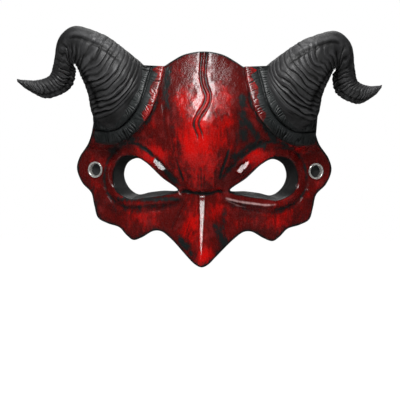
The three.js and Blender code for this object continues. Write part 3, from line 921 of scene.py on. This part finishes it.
def makeCollar(name, side):
    steps = collar["steps"]
    outer = evenly(splineThrough(collar["outer"], 40), steps)
    inner = evenly(splineThrough(collar["inner"], 40), steps)
    profile = splineThrough(collar["section"], 4)
    run = np.linspace(0, lengthOf(outer), steps)[:, None]
    t = np.linspace(0, 1, steps)[:, None]
    share, height = profile[:, 0][None], profile[:, 1][None]
    sides = len(profile)
    wander = 1.1 * softNoise(run / 7, share * 2.2, 21 + side)
    wander = wander + 0.45 * softNoise(run / 2.3, share * 4, 22)
    phase = run / collar["creaseGap"] + wander
    number = np.floor(phase)
    crease = smooth(1 - np.abs(2 * (phase - number) - 1) * 1.9)
    firstBand = hump(share - 0.2, 0.2)
    secondBand = hump(share - 0.75, 0.2)
    upper = fade(t - collar["redUntil"], 0.12)
    bite = (firstBand * (0.85 - 0.3 * upper) + 0.9 * secondBand) * smooth((height - 1) / 1.5)
    strength = 0.55 + 0.75 * softNoise(number * 0.61, share * 1.6, 23)
    depth = collar["creaseDepth"] * strength * bite * crease
    uneven = 0.22 * softNoise(run / 7, share * 3, 24) + 0.1 * softNoise(run / 2, share * 8, 25)
    lift = smooth(height) * uneven - depth
    place = outer[:, None, :] * (1 - share[..., None]) + inner[:, None, :] * share[..., None]
    x, z = horn["x"] + place[..., 0], horn["level"] + place[..., 1]
    y = -faceDepth(x, z) - height - lift
    points = np.column_stack([side * x.ravel(), y.ravel(), z.ravel()])
    grid = points.reshape(steps, sides, 3)
    points = np.vstack([points, grid[0].mean(axis=0), grid[-1].mean(axis=0)])
    piece = meshObject(name, points, tube(steps, sides))
    turnOutwards(piece)
    ones = np.ones((steps, sides))
    redEdge = 0.29 + 0.14 * softNoise(run / 3.5, 0 * share, 26)
    red = upper * fade(share - redEdge, 0.07) * ones
    # a thin pale line along the outer edge: a painted highlight where the edge rounds over
    rubAndHighlight = 0.5 * hump(share - 0.045, 0.035) * smooth((t - 0.1) / 0.1)
    rubAndHighlight = rubAndHighlight * fade(t - 0.55, 0.12) * ones
    # the mask the paint follows: low in the creases and lowest in the groove between the bands and
    # at the horn's side, which get painted shade; high on crease tops, which get wear and a
    # painted sheen
    valley = smooth((2.9 - height) / 0.8) * window(share, 0.42, 0.03, 0.6, 0.03)
    valley = np.maximum(valley, smooth((share - 0.97) / 0.03))
    ridge = np.clip(0.6 + lift * 0.9, 0, 1) * (1 - valley) * ones
    addMask(piece, "red", np.concatenate([red.ravel(), [0, 0]]))
    addMask(piece, "rubAndHighlight", np.concatenate([rubAndHighlight.ravel(), [0, 0]]))
    addMask(piece, "ridge", np.concatenate([ridge.ravel(), [0.5, 0.5]]))
    return piece


rightCollar = makeCollar("rightCollar", 1)
leftCollar = makeCollar("leftCollar", -1)
print("collars:", len(rightCollar.data.polygons), "faces each")

# eyelets and their back rings

eyelet.update({
    "sides": 96,
    # radius and height over the temple's face
    "front": [(4.5, -3.15), (4.9, -3.15), (4.9, 0.15), (5.2, 0.22), (5.8, 0.2), (5.93, 0.42),
              (5.86, 0.85), (5.6, 1.24), (5.2, 1.42), (4.86, 1.3), (4.62, 0.95), (4.5, 0.4)],
    "rear": [(4.5, -5.1), (4.62, -5.45), (5, -5.68), (5.5, -5.66), (6, -5.4), (6.26, -5.1),
             (6.28, -4.86), (5.8, -4.8), (4.6, -4.8)],
})


def makeRing(name, side, profile):
    turn = math.radians(eyelet["angle"])
    out = np.array([side * math.sin(turn), -math.cos(turn), 0])
    flat = np.array([side * math.cos(turn), math.sin(turn), 0])
    centre = np.array([side * eyelet["x"], -eyelet["depth"], 0])
    ring = splineThrough(profile, 3, closed=True)
    points, faces, sides = [], [], len(ring)
    for k in range(eyelet["sides"]):
        angle = 2 * math.pi * k / eyelet["sides"]
        spoke = flat * math.cos(angle) + np.array([0, 0, 1]) * math.sin(angle)
        points += [centre + spoke * r + out * h for r, h in ring]
        for s in range(sides):
            a, b = k * sides + s, k * sides + (s + 1) % sides
            c, d = ((p + sides) % (eyelet["sides"] * sides) for p in (b, a))
            faces.append((a, b, c, d))
    piece = meshObject(name, points, faces)
    turnOutwards(piece)
    return piece


eyelets, backRings = (
    [makeRing(side + kind, sign, eyelet[end]) for side, sign in (("right", 1), ("left", -1))]
    for kind, end in (("Eyelet", "front"), ("BackRing", "rear")))
print("eyelets and back rings")

# elastic strap

strap = {
    "width": 15,
    "thickness": 1.2,
    "behind": 3.9,  # its middle behind the temple's face
    "run": 6,  # flat from the eyelet to its bend
    "bend": 4,
    "tail": 8,
    "hinge": 9.6955,  # the hinge line behind the eyelets
    "rise": 17,  # degrees
    "inset": 1.5,
    "reach": 146,  # from the hinge line to the back of the loop
    "edgeRound": 0.5,
    "slackWave": 0.9,
    "billow": 0.5,  # share of that wave out of the band's face
    "sway": 0.8,  # and along its width
    "step": 0.9,
}


def strapCourse():
    # x and y of the band's middle from the right end to the left one, before it rises
    turn = math.radians(eyelet["angle"])
    along = np.array([math.cos(turn), math.sin(turn)])
    out = np.array([math.sin(turn), -math.cos(turn)])
    centre = np.array([eyelet["x"], -eyelet["depth"]]) - out * strap["behind"]
    half = strap["width"] / 2
    knee = centre + along * strap["run"]
    hub = knee - out * strap["bend"]
    path = [centre - along * half * (1 - k / 12) for k in range(12)]
    path += [centre + along * strap["run"] * k / 8 for k in range(8)]
    for k in range(13):
        angle = turn - math.pi / 2 + (math.pi / 2 - turn) * k / 12
        path.append(hub + strap["bend"] * np.array([math.cos(angle), math.sin(angle)]))
    edge = path[-1][0]
    path += [np.array([edge, path[-1][1] + strap["tail"] * k / 8]) for k in range(1, 8)]
    start, hinge = edge - strap["inset"], strap["hinge"]
    far = [(edge, hinge), (edge - 0.5, hinge + 6), (start, hinge + 15), (start - 2.5, hinge + 34),
           (0.82 * start, hinge + 66), (0.6 * start, hinge + 98), (0.37 * start, hinge + 126),
           (0.17 * start, hinge + 141), (0, hinge + strap["reach"])]
    far += [(-x, y) for x, y in far[-2::-1]]
    curve = splineThrough(far, 20)
    half = len(curve) // 2
    path = np.vstack([path, curve[:half + 1]])
    path = np.vstack([path, np.column_stack([-path[-2::-1, 0], path[-2::-1, 1]])])
    return path


def strapFrames():
    path = strapCourse()
    length = lengthOf(path)
    count = int(round(length / strap["step"])) | 1
    middle = evenly(path, count)
    run = np.linspace(0, length, count)
    along = np.gradient(middle, axis=0)
    along /= np.linalg.norm(along, axis=1)[:, None]
    face = np.column_stack([along[:, 1], -along[:, 0]])  # out of the band's outer side
    return middle, run, face, length


def raiseStrap(points):
    # the free part rises from the temples, in a short bend in the band's own plane
    x, y, z = points.T
    angle = math.radians(strap["rise"]) * smooth((y - strap["hinge"] + 7) / 16)
    off = y - strap["hinge"]
    return np.column_stack([x, strap["hinge"] + off * np.cos(angle) - z * np.sin(angle),
                            off * np.sin(angle) + z * np.cos(angle)])


def slackAt(run, length):
    free = smooth((np.minimum(run, length - run) - 45) / 40)
    return strap["slackWave"] * free * np.sin(run / 27 + 0.6)


def makeStrap():
    middle, run, face, length = strapFrames()
    rows = len(run)
    half, thick = strap["width"] / 2, strap["thickness"] / 2
    fromEnd = np.minimum(run, length - run)
    width = np.sqrt(np.maximum(half ** 2 - np.maximum(half - fromEnd - 0.15, 0) ** 2, 0.5))
    corner = strap["edgeRound"]
    upper = [(s, 1) for s in np.linspace(-1, 1, 15)] + [(1, 0.5), (1, 0), (1, -0.5)]
    section = np.array(upper + [(-s, -d) for s, d in upper])
    across, depth = section[:, 0][None], section[:, 1][None]
    bulge = corner * np.sqrt(np.maximum(1 - depth ** 2, 0)) * (np.abs(across) > 0.99)
    rim = smooth((np.abs(across) - 0.86) / 0.14)
    z = across * (width[:, None] - corner) + np.sign(across) * bulge
    out = depth * thick * (1 - 0.35 * rim)
    wave = slackAt(run, length)
    out = out + strap["billow"] * wave[:, None]
    spot = middle[:, None, :] + face[:, None, :] * out[..., None]
    level = z + strap["sway"] * wave[:, None]
    points = np.column_stack([spot[..., 0].ravel(), spot[..., 1].ravel(), level.ravel()])
    sides = len(section)
    grid = points.reshape(rows, sides, 3)
    points = np.vstack([points, grid[0].mean(axis=0), grid[-1].mean(axis=0)])
    piece = meshObject("elasticStrap", raiseStrap(points), tube(rows, sides))
    turnOutwards(piece)
    addMask(piece, "along", np.concatenate([np.repeat(run, sides) * mm, [0, length * mm]]))
    addMask(piece, "across", np.concatenate([(z * mm).ravel(), [0, 0]]))
    return piece, length


ribs = {
    "spacing": 1.6,
    "thread": 0.2,  # half as thick as a rib
    "proud": 0.05,
    "unevenness": 0.22,
    "seed": 11,
    "clear": 17,  # bare at the ends, where the eyelets pinch the band
}


def makeRibTree():
    # one closed loop of thread round the band at every step along its middle line
    tree = bpy.data.node_groups.new("bandRibs", "GeometryNodeTree")
    kinds = {"Line": "Geometry", "Spacing": "Float", "Width": "Float", "Thickness": "Float",
             "Thread": "Float", "Unevenness": "Float", "Seed": "Int", "Finish": "Material"}
    sockets = {}
    for label, kind in kinds.items():
        socket = tree.interface.new_socket(label, in_out="INPUT", socket_type="NodeSocket" + kind)
        sockets[label] = socket.identifier
    tree.interface.new_socket("Ribs", in_out="OUTPUT", socket_type="NodeSocketGeometry")
    given = tree.nodes.new("NodeGroupInput").outputs
    result = tree.nodes.new("NodeGroupOutput").inputs

    def place(kind, links, **settings):
        node = tree.nodes.new(kind)
        for key, value in settings.items():
            setattr(node, key, value)
        for key, value in links.items():
            feed(tree, node.inputs[key], value)
        return node.outputs[0]

    line = place("GeometryNodeMeshToCurve", {"Mesh": given["Line"]})
    steps = place("GeometryNodeResampleCurve", {"Curve": line, "Length": given["Spacing"]},
                  mode="LENGTH")
    tangent = place("GeometryNodeInputTangent", {})
    turn = place("FunctionNodeAlignRotationToVector", {"Vector": tangent},
                 axis="X", pivot_axis="Z")
    frame = place("GeometryNodeCurvePrimitiveQuadrilateral",
                  {"Width": given["Width"], "Height": given["Thickness"]}, mode="RECTANGLE")
    rounded = place("GeometryNodeFilletCurve",
                    {"Curve": frame, "Radius": given["Thread"], "Count": 1}, mode="POLY")
    upright = place("GeometryNodeTransform",
                    {"Geometry": rounded, "Rotation": (0, -math.pi / 2, 0)})
    thread = place("GeometryNodeCurvePrimitiveCircle",
                   {"Resolution": 5, "Radius": given["Thread"]}, mode="RADIUS")
    rib = place("GeometryNodeCurveToMesh", {"Curve": upright, "Profile Curve": thread})
    least, most = (place("ShaderNodeMath", {0: 1.0, 1: given["Unevenness"]}, operation=way)
                   for way in ("SUBTRACT", "ADD"))
    chance = tree.nodes.new("FunctionNodeRandomValue")
    chance.data_type = "FLOAT"
    for key, value in ((2, least), (3, most), ("Seed", given["Seed"])):
        feed(tree, chance.inputs[key], value)
    swell = place("ShaderNodeCombineXYZ", {"X": chance.outputs[1], "Y": 1.0, "Z": 1.0})
    laid = place("GeometryNodeInstanceOnPoints",
                 {"Points": steps, "Instance": rib, "Rotation": turn, "Scale": swell})
    whole = place("GeometryNodeRealizeInstances", {"Geometry": laid})
    tree.links.new(place("GeometryNodeSetMaterial",
                         {"Geometry": whole, "Material": given["Finish"]}), result[0])
    return tree, sockets


def makeRibs(finish):
    middle, run, face, length = strapFrames()
    wave = slackAt(run, length)
    middle = middle + face * strap["billow"] * wave[:, None]
    middle = np.column_stack([middle, strap["sway"] * wave])
    middle = middle[(run > ribs["clear"]) & (run < length - ribs["clear"])]
    line = bpy.data.meshes.new("bandLine")
    line.from_pydata((middle * mm).tolist(), [(i, i + 1) for i in range(len(middle) - 1)], [])
    holder = bpy.data.objects.new("bandLine", line)
    scene.collection.objects.link(holder)
    tree, sockets = makeRibTree()
    maker = holder.modifiers.new("ribs", "NODES")
    maker.node_group = tree
    sizes = {"Spacing": ribs["spacing"], "Width": strap["width"] - 2 * ribs["thread"],
             "Thickness": strap["thickness"] + 2 * ribs["proud"], "Thread": ribs["thread"]}
    for label, value in sizes.items():
        maker[sockets[label]] = value * mm
    maker[sockets["Unevenness"]] = ribs["unevenness"]
    maker[sockets["Seed"]] = ribs["seed"]
    maker[sockets["Finish"]] = finish
    holder.update_tag()
    made = holder.evaluated_get(bpy.context.evaluated_depsgraph_get())
    mesh = bpy.data.meshes.new_from_object(made)
    holder.modifiers.remove(maker)
    bpy.data.objects.remove(holder)
    spots = np.empty(len(mesh.vertices) * 3)
    mesh.vertices.foreach_get("co", spots)
    mesh.vertices.foreach_set("co", (raiseStrap(spots.reshape(-1, 3) / mm) * mm).ravel())
    mesh.polygons.foreach_set("use_smooth", [True] * len(mesh.polygons))
    mesh.update()
    piece = bpy.data.objects.new("strapRibs", mesh)
    scene.collection.objects.link(piece)
    turnOutwards(piece)
    return piece


elasticStrap, strapLength = makeStrap()
print("strap:", round(strapLength), "mm long")

# material parts


def number(tree, operation, first, second=0.0, clamped=False):
    node = tree.nodes.new("ShaderNodeMath")
    node.operation, node.use_clamp = operation, clamped
    feed(tree, node.inputs[0], first)
    feed(tree, node.inputs[1], second)
    return node.outputs[0]


def plus(tree, first, second, times=1.0):
    # first + second * times
    node = tree.nodes.new("ShaderNodeMath")
    node.operation = "MULTIPLY_ADD"
    for slot, value in enumerate((second, times, first)):
        feed(tree, node.inputs[slot], value)
    return node.outputs[0]


def spread(tree, value, low, high, toLow=0.0, toHigh=1.0):
    node = tree.nodes.new("ShaderNodeMapRange")
    node.interpolation_type = "SMOOTHSTEP"
    ends = {"Value": value, "From Min": low, "From Max": high, "To Min": toLow, "To Max": toHigh}
    for name, given in ends.items():
        feed(tree, node.inputs[name], given)
    return node.outputs[0]


def mixColour(tree, share, first, second, mode="MIX"):
    node = tree.nodes.new("ShaderNodeMix")
    node.data_type, node.blend_type = "RGBA", mode
    feed(tree, node.inputs[0], share)
    feed(tree, node.inputs[6], first)
    feed(tree, node.inputs[7], second)
    return node.outputs[2]


def cloud(tree, where, scale, detail=3.0, roughness=0.55, distortion=0.0):
    node = tree.nodes.new("ShaderNodeTexNoise")
    sizes = {"Vector": where, "Scale": scale, "Detail": detail, "Roughness": roughness,
             "Distortion": distortion}
    for name, given in sizes.items():
        feed(tree, node.inputs[name], given)
    return node.outputs["Fac"]


def stretched(tree, where, scale, turn=(0, 0, 0)):
    node = tree.nodes.new("ShaderNodeMapping")
    feed(tree, node.inputs["Vector"], where)
    node.inputs["Scale"].default_value = scale
    node.inputs["Rotation"].default_value = turn
    return node.outputs[0]


def attribute(tree, name):
    node = tree.nodes.new("ShaderNodeAttribute")
    node.attribute_name = name
    return node.outputs["Fac"]


def bump(tree, height, strength, distance):
    node = tree.nodes.new("ShaderNodeBump")
    feed(tree, node.inputs["Height"], height)
    node.inputs["Strength"].default_value = strength
    node.inputs["Distance"].default_value = distance
    return node.outputs["Normal"]


def newGroup(name, inputs, outputs):
    # sockets are given as name: (kind, default)
    tree = bpy.data.node_groups.new(name, "ShaderNodeTree")
    for label, (kind, default) in inputs.items():
        socket = tree.interface.new_socket(label, in_out="INPUT", socket_type="NodeSocket" + kind)
        if default is not None:
            socket.default_value = default
    for label, kind in outputs.items():
        tree.interface.new_socket(label, in_out="OUTPUT", socket_type="NodeSocket" + kind)
    return tree, tree.nodes.new("NodeGroupInput").outputs, tree.nodes.new("NodeGroupOutput").inputs


def placeGroup(tree, group, **values):
    node = tree.nodes.new("ShaderNodeGroup")
    node.node_tree = group
    for label, value in values.items():
        feed(tree, node.inputs[label[0].upper() + label[1:]], value)
    return node.outputs


def makeDryBrush():
    # black paint dragged on thin, with painted shade in creases and hollows laid the same way: the
    # amount input says how much, streaks and specks break it up
    tree, given, result = newGroup(
        "dryBrush",
        {"Where": ("Vector", None), "Wash": ("Float", 0.5), "Streaks": ("Float", 420.0),
         "Specks": ("Float", 900.0), "Reach": ("Float", 1.0)},
        {"Cover": "Float", "Thin": "Float"})
    dragged = stretched(tree, given["Where"], (1, 1, 0.22), (0, 0.25, 0))
    streak = cloud(tree, dragged, given["Streaks"], 4, 0.6, 0.4)
    speck = cloud(tree, given["Where"], given["Specks"], 2, 0.5)
    patch = cloud(tree, given["Where"], 80, 6, 0.72, 1.6)
    broken = plus(tree, plus(tree, streak, speck, 0.3), patch, 1.5)
    level = plus(tree, number(tree, "SUBTRACT", 0.86, broken), given["Wash"], given["Reach"])
    feed(tree, result["Cover"], spread(tree, level, 0.0, 0.26))
    feed(tree, result["Thin"], spread(tree, level, -0.5, 0.15))
    return tree


def makeMouldSkin():
    # fine pebbled skin of cast foam: the bump's height and how gloss changes with it
    tree, given, result = newGroup(
        "mouldSkin",
        {"Where": ("Vector", None), "Grain": ("Float", 800.0), "Ripple": ("Float", 180.0),
         "Fine": ("Float", 0.6)},
        {"Height": "Float", "Gloss": "Float"})
    grain = cloud(tree, given["Where"], given["Grain"], 3, 0.6, 0.3)
    flattened = stretched(tree, given["Where"], (1, 1, 0.5))
    ripple = cloud(tree, flattened, given["Ripple"], 3, 0.55, 0.2)
    feed(tree, result["Height"], plus(tree, ripple, grain, given["Fine"]))
    feed(tree, result["Gloss"], spread(tree, grain, 0.35, 0.65))
    return tree


def makeRidgeWearAndShade():
    # lighter on what stands up, partly wear and partly a painted sheen; darker in what lies low, a
    # painted shade
    tree, given, result = newGroup(
        "wornRidges",
        {"Where": ("Vector", None), "Colour": ("Color", (0.02, 0.02, 0.02, 1)),
         "Worn": ("Color", (0.1, 0.1, 0.1, 1)), "Ridge": ("Float", 0.5), "Wear": ("Float", 0.6)},
        {"Colour": "Color", "WearAndSheen": "Float"})
    rub = cloud(tree, stretched(tree, given["Where"], (1, 1, 0.6)), 520, 4, 0.65)
    wearAndSheen = spread(tree, plus(tree, given["Ridge"], rub, 0.4), 0.72, 1.25)
    wearAndSheen = number(tree, "MULTIPLY", wearAndSheen, given["Wear"])
    # painted shade: the colour is darkened in the grooves
    dark = spread(tree, given["Ridge"], 0.05, 0.5, 0.25, 1.0)
    shaded = mixColour(tree, 1.0, given["Colour"], dark, "MULTIPLY")
    feed(tree, result["Colour"], mixColour(tree, wearAndSheen, shaded, given["Worn"]))
    feed(tree, result["WearAndSheen"], wearAndSheen)
    return tree


dryBrush, mouldSkin, wornRidges = makeDryBrush(), makeMouldSkin(), makeRidgeWearAndShade()


def newMaterial(name):
    paint = bpy.data.materials.new(name)
    paint.use_nodes = True
    tree = paint.node_tree
    surface = tree.nodes["Principled BSDF"]
    where = tree.nodes.new("ShaderNodeTexCoord").outputs["Object"]
    return paint, tree, surface.inputs, where


facePaint = {
    "bright": (0.41, 0.0012, 0.0004, 1),
    "deep": (0.07, 0.0025, 0.002, 1),
    "dusty": (0.16, 0.012, 0.012, 1),
    "black": (0.008, 0.0105, 0.0105, 1),
    "lining": (0.005, 0.005, 0.005, 1),
    "liningPale": (0.016, 0.0145, 0.014, 1),
    # pale pink for rubbed paint and painted highlights
    "rubAndHighlight": (0.42, 0.27, 0.26, 1),
    "roughness": 0.2,
    "gloss": 0.27,
    "coat": 0.38,
    "coatRoughness": 0.11,
    # dark red where the black wash and its painted shade thin out
    "thinWashAndShade": (0.03, 0.004, 0.004, 1),
    "grain": 950,
    "bump": 0.42,
    "bumpDepth": 0.0009,
}


def redLacquer(tree, where, bright):
    # deep and bright red in drifts, dusty where it isn't bright; the bump uses the flecks too
    drift = cloud(tree, where, 60, 4, 0.6, 0.5)
    fleck = cloud(tree, stretched(tree, where, (1, 1, 0.3)), 380, 4, 0.65, 0.3)
    share = plus(tree, bright, number(tree, "SUBTRACT", drift, 0.5), 1.6)
    share = plus(tree, share, number(tree, "SUBTRACT", fleck, 0.5), 1.4)
    red = mixColour(tree, spread(tree, share, 0.1, 1.0), facePaint["deep"], facePaint["bright"])
    dust = number(tree, "MULTIPLY", spread(tree, cloud(tree, where, 75, 3, 0.6), 0.5, 0.72),
                  number(tree, "SUBTRACT", 0.75, bright, True))
    return mixColour(tree, dust, red, facePaint["dusty"]), fleck


def rubAndHighlightShare(tree, fleck, share, full):
    # where the pale lines show, rubbed paint that is also a painted highlight, broken up by the
    # flecks
    return spread(tree, plus(tree, attribute(tree, "rubAndHighlight"), fleck, share), *full)


def makeFacePaint():
    paint, tree, surface, where = newMaterial("faceLacquer")
    red, fleck = redLacquer(tree, where, attribute(tree, "bright"))
    brushed = placeGroup(tree, dryBrush, where=where, wash=attribute(tree, "wash"))
    # where the black thins it darkens the red, black wash and its painted shade alike
    thin = number(tree, "MULTIPLY", brushed["Thin"], 0.75)
    thinlyDarkened = mixColour(tree, thin, red, facePaint["thinWashAndShade"])
    colour = mixColour(tree, brushed["Cover"], thinlyDarkened, facePaint["black"])
    # pale lines of rubbed paint, which also paint highlights on the ridges
    wearAndSheen = rubAndHighlightShare(tree, fleck, 0.9, (0.72, 1.25, 0.0, 0.7))
    colour = mixColour(tree, wearAndSheen, colour, facePaint["rubAndHighlight"])
    inside = attribute(tree, "inside")
    mottle = cloud(tree, where, 300, 3)
    lining = mixColour(tree, mottle, facePaint["lining"], facePaint["liningPale"])
    feed(tree, surface["Base Color"], mixColour(tree, inside, colour, lining))

    skin = placeGroup(tree, mouldSkin, where=where, grain=facePaint["grain"], ripple=240.0,
                      fine=0.55)
    dragged = stretched(tree, where, (1, 1, 0.55), (0, 0.5, 0))
    dull = spread(tree, cloud(tree, dragged, 1050, 3, 0.7, 1.2), 0.54, 0.62)
    rough = facePaint["roughness"]
    rougher = ((skin["Gloss"], 0.1), (dull, 0.16), (brushed["Cover"], 0.1), (inside, 0.35))
    for mask, more in rougher:
        rough = plus(tree, rough, mask, more)
    feed(tree, surface["Roughness"], rough)
    surface["Specular IOR Level"].default_value = facePaint["gloss"]
    outside = number(tree, "SUBTRACT", 1.0, inside, True)
    coat = number(tree, "MULTIPLY", outside, facePaint["coat"])
    coat = number(tree, "MULTIPLY", coat, number(tree, "SUBTRACT", 1.0, dull))
    feed(tree, surface["Coat Weight"], coat)
    surface["Coat Roughness"].default_value = facePaint["coatRoughness"]
    height = plus(tree, skin["Height"], fleck, 0.5)
    feed(tree, surface["Normal"], bump(tree, height, facePaint["bump"], facePaint["bumpDepth"]))
    return paint


hornPaint = {
    "base": (0.009, 0.009, 0.0093, 1),
    "worn": (0.056, 0.056, 0.058, 1),
    "basePale": (0.024, 0.024, 0.025, 1),
    "wear": 0.62,
    "roughness": 0.52,
    "grain": 700,
    "bump": 0.5,
    "bumpDepth": 0.0006,
}


def makeHornPaint():
    paint, tree, surface, where = newMaterial("hornCharcoal")
    patch = spread(tree, cloud(tree, where, 70, 3, 0.6), 0.35, 0.7)
    base = mixColour(tree, patch, hornPaint["base"], hornPaint["basePale"])
    worn = placeGroup(tree, wornRidges, where=where, colour=base, worn=hornPaint["worn"],
                      ridge=attribute(tree, "ridge"), wear=hornPaint["wear"])
    skin = placeGroup(tree, mouldSkin, where=where, grain=hornPaint["grain"], ripple=260.0,
                      fine=0.5)
    feed(tree, surface["Base Color"], worn["Colour"])
    rough = plus(tree, hornPaint["roughness"], skin["Gloss"], 0.14)
    feed(tree, surface["Roughness"], plus(tree, rough, worn["WearAndSheen"], -0.12))
    grain = bump(tree, skin["Height"], hornPaint["bump"], hornPaint["bumpDepth"])
    feed(tree, surface["Normal"], grain)
    return paint


collarPaint = {
    "black": (0.012, 0.0145, 0.0145, 1),
    "worn": (0.075, 0.075, 0.078, 1),
    "wear": 0.34,
    "brightness": 0.3,  # of its red
    "roughness": 0.42,
    "coat": 0.25,
    "coatRoughness": 0.15,
    "bump": 0.45,
    "bumpDepth": 0.0006,
}


def makeCollarPaint():
    paint, tree, surface, where = newMaterial("collarPaint")
    ridge = attribute(tree, "ridge")
    worn = placeGroup(tree, wornRidges, where=where, colour=collarPaint["black"], ridge=ridge,
                      worn=collarPaint["worn"], wear=collarPaint["wear"])
    lacquer, fleck = redLacquer(tree, where, collarPaint["brightness"])
    # black wash laid in the low places, where it is also painted shade
    brushed = placeGroup(tree, dryBrush, where=where, wash=plus(tree, 1.05, ridge, -1.25))
    lacquer = mixColour(tree, brushed["Cover"], lacquer, collarPaint["black"])
    red = plus(tree, attribute(tree, "red"), number(tree, "SUBTRACT", fleck, 0.5), 0.9)
    edge = spread(tree, red, 0.42, 0.58)
    # the pale edge line, a painted highlight, is lacquered too and painted pale
    edge = number(tree, "MAXIMUM", edge, rubAndHighlightShare(tree, fleck, 0.8, (0.75, 1.2)))
    wearAndSheen = rubAndHighlightShare(tree, fleck, 0.8, (0.75, 1.3, 0.0, 0.7))
    lacquer = mixColour(tree, wearAndSheen, lacquer, facePaint["rubAndHighlight"])
    feed(tree, surface["Base Color"], mixColour(tree, edge, worn["Colour"], lacquer))
    skin = placeGroup(tree, mouldSkin, where=where, grain=760.0, ripple=240.0, fine=0.55)
    rough = plus(tree, collarPaint["roughness"], skin["Gloss"], 0.12)
    feed(tree, surface["Roughness"], plus(tree, rough, edge, -0.16))
    feed(tree, surface["Coat Weight"], number(tree, "MULTIPLY", edge, collarPaint["coat"]))
    surface["Coat Roughness"].default_value = collarPaint["coatRoughness"]
    grain = bump(tree, skin["Height"], collarPaint["bump"], collarPaint["bumpDepth"])
    feed(tree, surface["Normal"], grain)
    return paint


platePaint = {
    "dull": (0.62, 0.60, 0.56, 1),
    "bright": (0.86, 0.85, 0.83, 1),
    "metal": 0.62,
    "scratch": 0.12,
    "scratchDepth": 0.0002,
}


def makeEyeletPaint():
    paint, tree, surface, where = newMaterial("nickelPlate")
    smear = cloud(tree, where, 500, 4, 0.6)
    scratch = cloud(tree, stretched(tree, where, (1, 1, 6), (0.4, 0.3, 0)), 900, 2, 0.5)
    metal = mixColour(tree, smear, platePaint["dull"], platePaint["bright"])
    feed(tree, surface["Base Color"], metal)
    surface["Metallic"].default_value = platePaint["metal"]
    feed(tree, surface["Roughness"], spread(tree, smear, 0.3, 0.7, 0.12, 0.3))
    grain = bump(tree, scratch, platePaint["scratch"], platePaint["scratchDepth"])
    feed(tree, surface["Normal"], grain)
    return paint


webbing = {
    "dark": (0.007, 0.007, 0.0075, 1),
    "light": (0.040, 0.040, 0.043, 1),
    "cords": 1.07,  # mm across, one rubber cord under each
    "picks": 0.62,  # mm along, one weft thread each
    "sheen": 0.12,
    "sheenRoughness": 0.5,
    "bump": 0.6,
    "bumpDepth": 0.0003,
}


def makeWebbing():
    paint, tree, surface, where = newMaterial("ribbedElastic")
    along, across = attribute(tree, "along"), attribute(tree, "across")
    fibre = cloud(tree, where, 2600, 3, 0.6)
    perCord, perPick = (2 * math.pi / (webbing[key] * mm) for key in ("cords", "picks"))
    cord = number(tree, "SINE", number(tree, "MULTIPLY", across, perCord))
    shift = number(tree, "MULTIPLY", number(tree, "SIGN", cord), math.pi / 2)
    pick = number(tree, "SINE", plus(tree, shift, along, perPick))
    weave = plus(tree, number(tree, "ABSOLUTE", cord), pick, 0.35)
    share = plus(tree, number(tree, "MULTIPLY", weave, 0.5), fibre, 0.45)
    colour = mixColour(tree, spread(tree, share, 0.2, 1.1), webbing["dark"], webbing["light"])
    feed(tree, surface["Base Color"], colour)
    feed(tree, surface["Roughness"], spread(tree, fibre, 0.3, 0.7, 0.75, 0.95))
    surface["Sheen Weight"].default_value = webbing["sheen"]
    surface["Sheen Roughness"].default_value = webbing["sheenRoughness"]
    grain = bump(tree, plus(tree, weave, fibre, 0.4), webbing["bump"], webbing["bumpDepth"])
    feed(tree, surface["Normal"], grain)
    return paint


facePainted, hornPainted, collarPainted = makeFacePaint(), makeHornPaint(), makeCollarPaint()
nickel, elastic = makeEyeletPaint(), makeWebbing()
print("materials")

# what each piece stands for, rides on and is painted with

fixedPieces = [
    (faceShell, "shell", facePainted, "face_shell"),
    (rightHorn, "horn", hornPainted, "right_horn"),
    (leftHorn, "horn", hornPainted, "left_horn"),
    (rightCollar, "collar", collarPainted, "right_horn_collar"),
    (leftCollar, "collar", collarPainted, "left_horn_collar"),
    (eyelets[0], "metal", nickel, "right_eyelet"),
    (eyelets[1], "metal", nickel, "left_eyelet"),
    (backRings[0], "metal", nickel, "right_back_ring"),
    (backRings[1], "metal", nickel, "left_back_ring"),
]
for piece, slot, paint, node in fixedPieces:
    piece.data.materials.append(paint)
    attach(piece, "mask")
    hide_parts(node)

elasticStrap.data.materials.append(elastic)
strapRibs = makeRibs(elastic)
print("strap ribs:", len(strapRibs.data.polygons), "faces")
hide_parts("strap_loop", "right_strap_tab", "left_strap_tab")
for piece in (elasticStrap, strapRibs):
    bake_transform(piece)

print("finishing")
